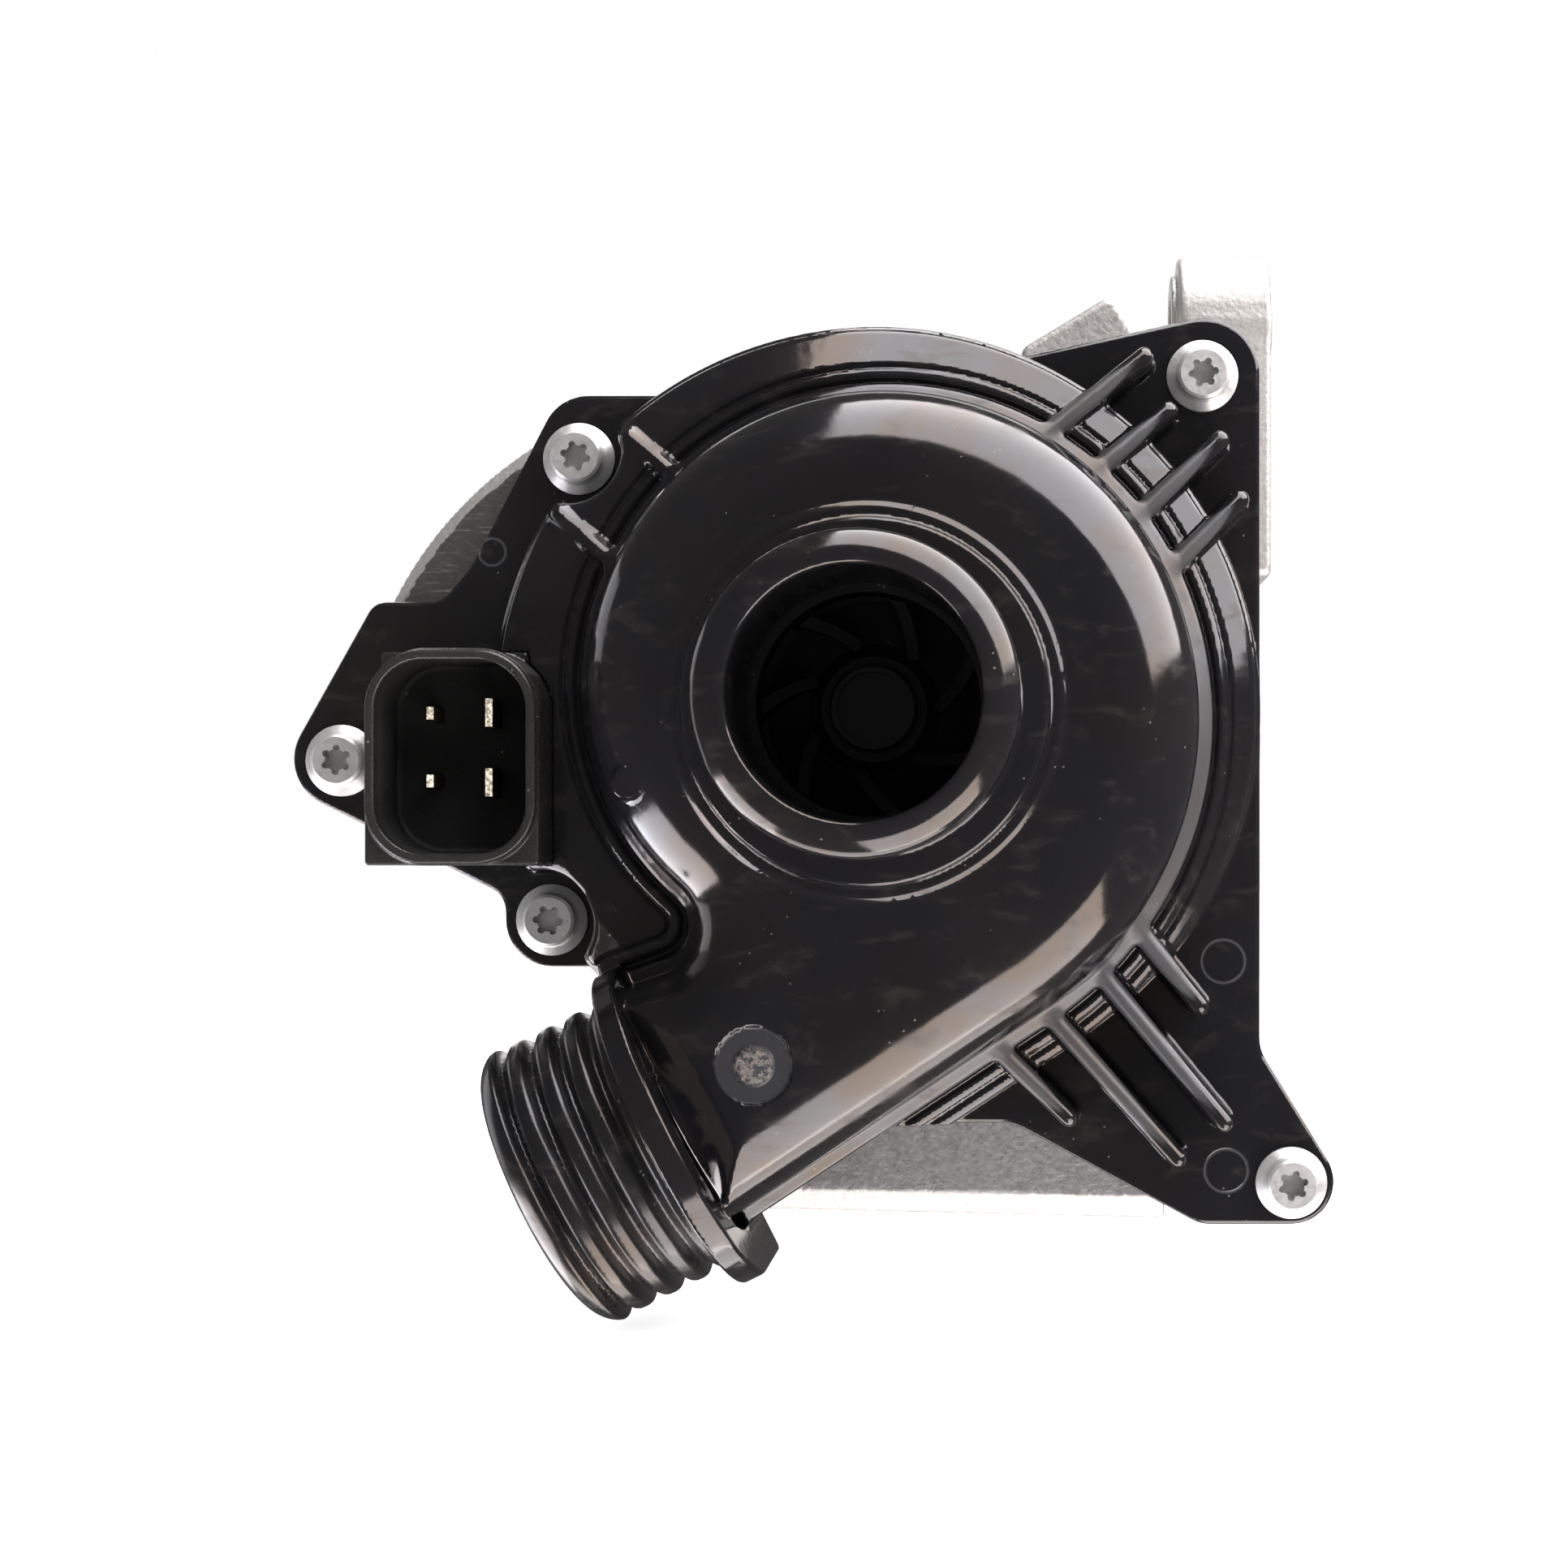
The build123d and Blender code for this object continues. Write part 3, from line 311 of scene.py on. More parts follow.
def sample(field, points, chunk=250000):
    out = np.empty(len(points), np.float32)
    for i in range(0, len(points), chunk):
        p = points[i:i + chunk]
        out[i:i + chunk] = field(p[:, 0].copy(), p[:, 1].copy(), p[:, 2].copy())
    return out


def sample_grid(field, low, high, voxel):
    """Field values on a grid, worked out only in the blocks that the surface may cross."""
    low = np.array(low, float)
    blocks = np.ceil((np.array(high) - low) / (voxel * BLOCK)).astype(int)
    index = np.stack(np.meshgrid(*[np.arange(n) for n in blocks], indexing="ij"), -1).reshape(-1, 3)
    coarse = sample(field, low + (index + 0.5) * BLOCK * voxel)
    grid = np.repeat(np.repeat(np.repeat(coarse.reshape(blocks), BLOCK, 0), BLOCK, 1), BLOCK, 2)
    active = index[np.abs(coarse) < BLOCK * voxel * 1.15 + 0.6]
    inner = np.stack(np.meshgrid(*[np.arange(BLOCK)] * 3, indexing="ij"), -1).reshape(1, -1, 3)
    cells = (active[:, None, :] * BLOCK + inner).reshape(-1, 3)
    grid[cells[:, 0], cells[:, 1], cells[:, 2]] = sample(field, low + cells * voxel)
    return low, grid


def surface_net(low, grid, voxel):
    """Quads on the zero surface of a grid of distances."""
    inside = grid < 0
    count = sum(inside[i:grid.shape[0] - 1 + i, j:grid.shape[1] - 1 + j,
                       k:grid.shape[2] - 1 + k].astype(np.uint8) for i, j, k in CORNERS)
    cells = np.argwhere((count > 0) & (count < 8))
    number = np.full(count.shape, -1, np.int32)
    number[cells[:, 0], cells[:, 1], cells[:, 2]] = np.arange(len(cells))
    values = {c: grid[cells[:, 0] + c[0], cells[:, 1] + c[1], cells[:, 2] + c[2]] for c in CORNERS}
    total = np.zeros((len(cells), 3))
    hits = np.zeros(len(cells))
    for c in CORNERS:
        for axis in range(3):
            if c[axis]:
                continue
            other = tuple(1 if i == axis else c[i] for i in range(3))
            a, b = values[c], values[other]
            crosses = (a < 0) != (b < 0)
            t = np.where(crosses, a / np.where(crosses, a - b, 1), 0)
            point = np.tile(np.array(c, float), (len(cells), 1))
            point[:, axis] = t
            total += point * crosses[:, None]
            hits += crosses
    points = low + (cells + total / hits[:, None]) * voxel
    quads = []
    for axis in range(3):
        b, c = (axis + 1) % 3, (axis + 2) % 3
        size = list(grid.shape)
        first = [slice(1, -1)] * 3
        first[axis] = slice(0, size[axis] - 1)
        second = list(first)
        second[axis] = slice(1, size[axis])
        here, there = inside[tuple(first)], inside[tuple(second)]
        edges = np.argwhere(here != there)
        solid_first = here[edges[:, 0], edges[:, 1], edges[:, 2]]
        edges = edges + np.array([s.start for s in first])
        step_b, step_c = np.eye(3, dtype=int)[b], np.eye(3, dtype=int)[c]
        ring = [edges - step_b - step_c, edges - step_c, edges, edges - step_b]
        ids = np.stack([number[r[:, 0], r[:, 1], r[:, 2]] for r in ring], 1)
        ids[~solid_first] = ids[~solid_first][:, ::-1]
        quads.append(ids)
    quads = np.concatenate(quads)
    return points, quads[(quads >= 0).all(1)]


def slope(field, points, reach):
    """Field value and gradient from four samples round each point."""
    value = 0
    gradient = np.zeros((len(points), 3))
    for k in ((1, -1, -1), (-1, -1, 1), (-1, 1, -1), (1, 1, 1)):
        k = np.array(k, float)
        v = sample(field, points + k * reach)
        value = value + v / 4
        gradient += k * v[:, None]
    return value, gradient / (4 * reach)


def settle(field, points, limit, rounds):
    """Moves points onto the zero surface along the field's gradient."""
    for _ in range(rounds):
        value, gradient = slope(field, points, 0.08)
        size = np.maximum((gradient ** 2).sum(1), 0.25)
        step = -gradient * (value / size)[:, None]
        length = np.linalg.norm(step, axis=1)
        step *= np.minimum(1, limit / np.maximum(length, 1e-9))[:, None]
        points = points + step
    return points


def mesh_from(name, points, faces):
    mesh = bpy.data.meshes.new(name)
    mesh.vertices.add(len(points))
    mesh.vertices.foreach_set("co", points.astype(np.float32).ravel())
    corners = faces.shape[1]
    mesh.loops.add(faces.size)
    mesh.loops.foreach_set("vertex_index", faces.astype(np.int32).ravel())
    mesh.polygons.add(len(faces))
    mesh.polygons.foreach_set("loop_start", np.arange(0, faces.size, corners, dtype=np.int32))
    mesh.update(calc_edges=True)
    mesh.validate()
    return mesh


def moulded(name, field, low, high, voxel, triangles):
    """Object made from a field: a surface net, thinned on its flat areas."""
    points, quads = surface_net(*sample_grid(field, low, high, voxel), voxel)
    points = settle(field, points, voxel * 0.6, 2)
    mesh = mesh_from(name, points, quads)
    obj = bpy.data.objects.new(name, mesh)
    bpy.context.scene.collection.objects.link(obj)
    thin = obj.modifiers.new("thin", "DECIMATE")
    thin.ratio = min(1.0, triangles / (2 * len(quads)))
    graph = bpy.context.evaluated_depsgraph_get()
    mesh = bpy.data.meshes.new_from_object(obj.evaluated_get(graph))
    obj.modifiers.clear()
    obj.data = mesh
    mesh.name = name
    points = np.empty(len(mesh.vertices) * 3)
    mesh.vertices.foreach_get("co", points)
    points = settle(field, points.reshape(-1, 3), voxel * 0.2, 1)
    normals = slope(field, points, 0.12)[1]
    normals /= np.maximum(np.linalg.norm(normals, axis=1), 1e-9)[:, None]
    mesh.vertices.foreach_set("co", to_row(points).astype(np.float32).ravel())
    mesh.shade_smooth()
    row_normals = np.column_stack((normals[:, 0], -normals[:, 2], normals[:, 1]))
    mesh.normals_split_custom_set_from_vertices([tuple(n) for n in row_normals])
    mesh.update()
    return obj


# ---- volute cover -------------------------------------------------------------------

LEDGE, LEDGE_TOP, LEDGE_SLOPE = 2.4, 13.5, 0.55
FACE_R = DRUM_R - 0.7
FACE_SLOPE = 0.5
STRIP_OUT = 7.2
POCKET_RADIUS = 7.0
FLOW = polar(1, OUTLET_ANGLE)
ACROSS = polar(1, OUTLET_ANGLE + 90)


def outlet_point(along, offset):
    return (along * FLOW[0] + offset * ACROSS[0], along * FLOW[1] + offset * ACROSS[1])


def tongue_fillet(corner, start, centre, r):
    """Round corner between the duct's upper wall and the spiral's first arc."""
    corner, start, centre = (np.array(v, float) for v in (corner, start, centre))
    way = (start - corner) / np.linalg.norm(start - corner)
    out = np.array((-way[1], way[0]))
    base = corner + out * TONGUE_R
    along = (centre - base) @ way
    gap = np.linalg.norm(base + along * way - centre)
    middle = base + (along - math.sqrt((r + TONGUE_R) ** 2 - gap ** 2)) * way
    first = -out
    last = (centre - middle) / np.linalg.norm(centre - middle)
    angle = math.degrees(math.atan2(first[1], first[0]))
    sweep = (math.degrees(math.atan2(last[1], last[0])) - angle + 180) % 360 - 180
    return arc_points(middle, TONGUE_R, angle, sweep), math.degrees(math.atan2(-last[1], -last[0]))


def volute_points():
    """Dome and duct in plan: a spiral of tangent arcs, clockwise from the tongue."""
    heading = LOWER_WALL_ANGLE + VOLUTE_SWEEP
    start = polar(VOLUTE_START_R, VOLUTE_START_ANGLE)
    points = [start]
    sweep = VOLUTE_SWEEP / len(VOLUTE_RADII)
    end = PLATE_FACE - PLATE_T + 1.5
    upper = outlet_point(end, UPPER_WALL_OFFSET)
    fillet = []
    for r in VOLUTE_RADII:
        side = polar(r, heading - 90)
        centre = (points[-1][0] + side[0], points[-1][1] + side[1])
        begin, turn = heading + 90, sweep
        if not fillet:
            fillet, angle = tongue_fillet(upper, start, centre, r)
            turn = sweep - (begin - angle) % 360
            begin = angle
            points = []
        points += arc_points(centre, r, begin, -turn, 2.0)[1:]
        heading -= sweep
    lower = polar(1, LOWER_WALL_ANGLE)
    last = points[-1]
    run = (end - last[0] * FLOW[0] - last[1] * FLOW[1]) / (lower[0] * FLOW[0] + lower[1] * FLOW[1])
    points.append((last[0] + run * lower[0], last[1] + run * lower[1]))
    return points + [upper] + fillet


VOLUTE = Outline(volute_points())
FLANGE = Outline(rounded(FLANGE_CORNERS))
DUCT_FROM = (*outlet_point(-9.0, 37.0), OUTLET_HEIGHT)
DUCT_TO = (*outlet_point(PLATE_FACE - PLATE_T + 0.5, 39.0), OUTLET_HEIGHT)


def neck_radius(q):
    """Outer radius of a hose neck at a distance from its mouth."""
    groove = np.sin(np.pi * (q - NECK_FIRST_CREST) / NECK_PITCH) ** 4
    wave = NECK_CREST_R - NECK_GROOVE * groove
    bead = np.clip((q - 3.0) / 1.5, 0, 1)
    bead = bead * bead * (3 - 2 * bead)
    plain = np.clip((q - 20.0) / 1.0, 0, 1)
    ribbed = wave * bead + NECK_BEAD_R * (1 - bead)
    return ribbed * (1 - plain) + NECK_ROOT_R * plain


def hose_neck(r, q, length):
    """Ribbed neck: r from its axis, q from its mouth."""
    side = (r - neck_radius(q)) * 0.86
    cone = (r - neck_radius(0)) * 0.57 + (2.2 - q) * 0.82
    return np.maximum(cut(cut(side, -cone, 1.6), q, 1.0), q - length)


def rib_field(x, y, z, start, angle, length):
    end = polar(length, angle)
    side, _ = slot2(x, y, start, (start[0] + end[0], start[1] + end[1]), RIB_HALF)
    way = polar(1, angle)
    along = (x - start[0]) * way[0] + (y - start[1]) * way[1]
    top = RIB_TOP - RIB_FALL * along / length
    return cut(side, (top - z) * 0.95, RIB_ROUND)


def drum_field(x, y, z, r, wall):
    """Sloped face up to the volute's foot, with two fine grooves and a lip at the rim."""
    grooves = 0.8 * np.exp(-((wall - 3.0) / 0.5) ** 2) + 0.5 * np.exp(-((wall - 5.2) / 0.42) ** 2)
    rise = np.minimum(FACE_R - r, 8.0 - 0.05 * r) * FACE_SLOPE
    lip = prism(r - DRUM_R, z, -2, DRUM_TOP - 0.9, 1.1)
    face = cut(r - FACE_R, (DRUM_TOP + rise - grooves - z) * 0.894, 0.9)
    along_duct = DRUM_TOP + FACE_SLOPE * (STRIP_OUT - wall) - grooves
    strip = cut(wall - STRIP_OUT, (along_duct - z) * 0.894, 0.9)
    beyond = OUTLET_OFFSET - x * ACROSS[0] - y * ACROSS[1]
    strip = np.maximum(np.maximum(strip, FLANGE(x, y) + 0.6), beyond)
    return join(join(lip, face, 0.4), strip)


def stop_plate(x, y, z):
    along = x * FLOW[0] + y * FLOW[1]
    offset = x * ACROSS[0] + y * ACROSS[1] - OUTLET_OFFSET
    plan = np.maximum(np.hypot(offset, np.maximum(z - OUTLET_HEIGHT, 0)) - PLATE_HALF,
                      -FLANGE_T - z)
    return prism(plan, along, PLATE_FACE - PLATE_T, PLATE_FACE, 0.7, 0.7)


def cover_outside(x, y, z, r, wall):
    d = prism(FLANGE(x, y), z, -FLANGE_T, 0, 0.8)
    drum = drum_field(x, y, z, r, wall)
    for at in (SCREWS[1], SCREWS[3]):
        drum = cut(drum, disc2(x, y, at, POCKET_RADIUS + 0.5), 1.2)
    d = join(d, drum, 1.2)
    ledge = cut(wall - LEDGE, (LEDGE_TOP + LEDGE_SLOPE * (LEDGE - wall) - z) * 0.876, 0.6)
    d = join(d, ledge, 0.5)
    for sx, sy, angle, length in RIBS:
        near = (np.hypot(x - sx, y - sy) < length + 8) & (z > -4) & (z < 20)
        blend_where(d, near, lambda m: rib_field(x[m], y[m], z[m], (sx, sy), angle, length), 1.0)
    dome = prism(wall, z, -8, VOLUTE_TOP, SHOULDER_R)
    dome = join(dome, tube(x, y, z, DUCT_FROM, DUCT_TO, *DUCT_R), 2.0)
    d = join(d, dome, 0.6)
    boss = prism(disc2(x, y, START_BOSS, START_BOSS_R), z, 8, START_BOSS_TOP, 0.5)
    d = join(d, boss, 1.0)
    d = join(d, stop_plate(x, y, z), 1.2)
    along = x * FLOW[0] + y * FLOW[1]
    offset = x * ACROSS[0] + y * ACROSS[1] - OUTLET_OFFSET
    outlet_r = np.hypot(offset, z - OUTLET_HEIGHT)
    d = join(d, hose_neck(outlet_r, PLATE_FACE + OUTLET_LENGTH - along, OUTLET_LENGTH + 2), 0.9)
    collar = join(prism(r - COLLAR_R, z, 20, COLLAR_TOP, 0.7),
                  prism(r - COLLAR_FOOT_R, z, 20, VOLUTE_TOP + 0.5, 0.5), 0.5)
    d = join(d, collar, 1.2)
    d = join(d, hose_neck(r, INLET_MOUTH - z, 33), 0.8)
    return d, outlet_r, along


def cover(x, y, z):
    r = np.hypot(x, y)
    wall = VOLUTE(x, y)
    d, outlet_r, along = cover_outside(x, y, z, r, wall)
    chamber = prism(wall + WALL, z, 1, VOLUTE_TOP - WALL, SHOULDER_R - WALL)
    chamber = np.maximum(chamber, along - 18)
    chamber = join(chamber, tube(x, y, z, DUCT_FROM, DUCT_TO, *DUCT_BORE_R), 2.0)
    chamber = join(chamber, prism(r - CHAMBER_MOUTH_R, z, 1, 24.0, 2.0))
    d = cut(d, chamber)
    bore = np.maximum(outlet_r - OUTLET_BORE_R, PLATE_FACE - PLATE_T - along)
    d = cut(d, bore, 0.9)
    d = cut(d, np.maximum(r - SEAT_R, z - 3.0))
    throat = np.maximum(r - BORE_R, 27 - z)
    d = cut(d, join(throat, prism(r - EYE_ROOM_R, z, 1, 28.5)), 0.9)
    for at in SCREWS:
        d = cut(d, np.maximum(disc2(x, y, at, POCKET_RADIUS), -z), 0.4)
        d = cut(d, disc2(x, y, at, SLEEVE_HOLE_R), 0.2)
    corner = np.where(y > -7.1, SOCKET_CORNER_R - 0.4, 0)
    socket = join(np.maximum(box2(x, y, SOCKET_X, SOCKET_Y, corner), 7.0 - z),
                  np.maximum(box2(x, y, (SOCKET_X[0], SOCKET_STEP_X), SOCKET_Y), -z))
    d = cut(d, socket)
    d = cut(d, box2(x, y, STEM_X, STEM_Y))
    gate = disc2(x, y, GATE_MARK, GATE_R)
    d = cut(d, prism(gate, z, VOLUTE_TOP - GATE_DEPTH, 45, 0, 0.2), 0.3)
    return join(d, prism(gate + 2.6, z, 30, VOLUTE_TOP - 0.15, 0.4), 0.4)


# ---- connector, housing and rear cover ----------------------------------------------

def turned_to(x, y, at, angle):
    """Coordinates in plan of a box's own axes."""
    c, s = polar(1, angle)
    return (x - at[0]) * c + (y - at[1]) * s, (y - at[1]) * c - (x - at[0]) * s


def connector(x, y, z):
    low = np.where(x < SOCKET_STEP_X, 0.1, 7.1)
    corner = np.where(y > -7.1, SOCKET_CORNER_R, 0.5)
    d = prism(box2(x, y, SOCKET_X, SOCKET_Y, corner), z, 7.1, SOCKET_BLOCK_TOP, 0.5)
    d = join(d, prism(box2(x, y, (SOCKET_X[0], SOCKET_STEP_X), SOCKET_Y, 0.5), z, 0.1, 12))
    outer = box2(x, y, SOCKET_X, SOCKET_Y, SOCKET_CORNER_R) + 0.3
    d = join(d, prism(outer, z, 15, SOCKET_MOUTH, 0.45), 0.6)
    d = join(d, prism(box2(x, y, STEM_X, STEM_Y, 1.0), z, -20, 5))
    inner = prism(outer + SOCKET_WALL - 0.3, z, SOCKET_FLOOR, 40, 0, 0.8)
    d = cut(d, inner, 0.35)
    for px, py, half in PINS:
        d = cut(d, box2(x, y, (px - 0.52, px + 0.52), (py - half, py + half)))
    return np.where(x > STEM_X[1] + 0.6, np.maximum(d, low - z), d)


def barrel_fins(x, y, z, r):
    angle = np.degrees(np.arctan2(y, x))
    middle = np.round((angle - 7.5) / 15) * 15 + 7.5
    side = np.abs(r * np.sin(np.radians(angle - middle))) - 1.2
    fin = np.maximum(np.maximum(side, r - BARREL_R - 3), BARREL_R - 3 - r)
    fin = np.maximum(fin, np.abs(z + 39) - 31)
    around = middle % 360
    return np.where((around > 150) & (around < 215), 5.0, fin)


def lug(x, y, z, ly, lz):
    inner = MOUNT_FACE - LUG_T
    flat = np.hypot(y - ly, z - lz)
    d = prism(flat - LUG_R, x, inner, MOUNT_FACE, 0.7, 0.9)
    d = join(d, prism(flat - 7.2, x, inner - 1, inner + 2, 0, 0.3), 0.4)
    low, high = sorted((ly, 0.35 * ly))
    plan = box2(y, z, (low, high), (lz - LUG_R, lz + LUG_R), 1.5)
    d = join(d, prism(plan, x, inner, MOUNT_FACE, 0.7, 2.0), 0.8)
    low, high = sorted((0.75 * ly, 0.2 * ly))
    root = box2(y, z, (low, high), (lz - LUG_R + 2, lz + LUG_R - 2), 2.0)
    return join(d, prism(root, x, 20, MOUNT_FACE - 3, 1.5), 2.5)


def chamber_plan(x, y, inset):
    lobe = box2(x, y, (LOBE_X[0] + inset, LOBE_X[1]), (LOBE_Y[0] + inset, LOBE_Y[1] - inset),
                max(0.8, 8 - inset))
    return join(np.hypot(x, y) - CHAMBER_R + inset, lobe, 1.0)


def front_plate(x, y, z):
    d = prism(FLANGE(x, y), z, FACE_REAR, HOUSING_FRONT, 0.35, 1.0)
    u, v = turned_to(x, y, BULGE_AREA, 45)
    round_edge = disc2(x, y, BULGE[:2], BULGE[2])
    bevel = (round_edge + z - HOUSING_FRONT + 1.8) * 0.707
    bulge = np.maximum(np.maximum(round_edge, bevel), np.maximum(np.abs(u) - 25, np.abs(v) - 23))
    bulge = np.maximum(bulge, np.abs(z - (HOUSING_FRONT + FACE_REAR) / 2) - 5)
    d = join(d, bulge)
    low_edge = (FOOT_Y[0] - y) * 1.0 + (x < 42.8) * (42.8 - x) * 0.0232
    across = np.abs(x - (FOOT_X[0] + FOOT_X[1]) / 2) - (FOOT_X[1] - FOOT_X[0]) / 2
    foot = np.maximum(np.maximum(across, low_edge), y - FOOT_Y[1])
    bevel = (low_edge + z - HOUSING_FRONT + 3.4) * 0.707
    foot = cut(prism(foot, z, FOOT_REAR, HOUSING_FRONT, 0.3, 1.5), -bevel, 0.4)
    return join(d, foot)


def rear_screw_plan(x, y):
    near = np.full(x.shape, 1e3)
    for at in REAR_SCREWS:
        near = np.minimum(near, disc2(x, y, at, 4.6))
    return near


def housing(x, y, z):
    r = np.hypot(x, y)
    d = front_plate(x, y, z)
    barrel = prism(r - BARREL_R, z, -74, HOUSING_FRONT - 1)
    d = join(d, join(barrel, barrel_fins(x, y, z, r), 1.5), 2.0)
    lobe = prism(box2(x, y, LOBE_X, LOBE_Y, 8.0), z, CHAMBER_REAR, HOUSING_FRONT - 1)
    d = join(d, lobe, 2.0)
    chamber = join(prism(r - CHAMBER_R, z, CHAMBER_REAR, -66, 2.0),
                   prism(rear_screw_plan(x, y), z, CHAMBER_REAR, -66, 1.0), 2.0)
    d = join(d, chamber, 2.0)
    for at in SCREWS:
        d = join(d, prism(disc2(x, y, at, SCREW_BOSS_R), z, -24, HOUSING_FRONT - 1, 0, 1.0), 0.6)
    for ly, lz in LUGS:
        d = join(d, lug(x, y, z, ly, lz), 2.5)
    u, v = turned_to(x, y, TOP_BOSS, TOP_BOSS_TURN)
    d = join(d, prism(box2(u, v, (-8.5, 8.5), (-4.5, 4.5), 2.0), z, -39, -13, 0.9, 0.9), 1.2)
    for ny in (-35.1, -40.2):
        d = join(d, np.sqrt((x - 56.4) ** 2 + (y - ny) ** 2 + (z + 13) ** 2) - 1.2, 0.4)
    d = cut(d, prism(r - STATOR_R, z, BARREL_FLOOR, 0))
    d = cut(d, prism(r - 44, z, HOUSING_FRONT - 0.8, 0))
    d = cut(d, np.maximum(box2(x, y, (STEM_X[0] - 0.2, STEM_X[1] + 0.2),
                               (STEM_Y[0] - 0.2, STEM_Y[1] + 0.2), 1.0), -75 - z))
    d = cut(d, prism(chamber_plan(x, y, 7.0), z, -95, -74))
    for ly, lz in LUGS:
        hole = np.maximum(np.hypot(y - ly, z - lz) - LUG_HOLE_R, MOUNT_FACE - LUG_HOLE_DEPTH - x)
        d = cut(d, hole, 0.5)
    for at in SCREWS:
        d = cut(d, disc2(x, y, at, SCREW_HOLE_R) + (z < SCREW_HOLE_END) * 9)
    for at in REAR_SCREWS:
        d = cut(d, disc2(x, y, at, 1.9) + (z > -79) * 9)
    return d


def rear_cover(x, y, z):
    plan = join(chamber_plan(x, y, 0.0), rear_screw_plan(x, y), 1.5)
    d = prism(plan, z, REAR_TOP, CHAMBER_REAR, 0.3, 0.8)
    spacing = np.abs(y - np.round(y / 6.5) * 6.5)
    side = np.maximum(spacing - 1.0 - (z + 99) * 0.05, np.abs(y) - 46)
    fin = np.maximum(side, np.hypot(x, y) - 46)
    d = join(d, prism(fin, z, FIN_END, REAR_TOP + 1, 0, 0.5), 1.2)
    for at in REAR_SCREWS:
        d = cut(d, disc2(x, y, at, 2.2), 0.3)
    return d


# ---- finishes -----------------------------------------------------------------------

WEB_LOW, WEB_HIGH = (49.8, 49.2), (45.2, 46.2)   # depths where the webs' duller skin and painted light fade
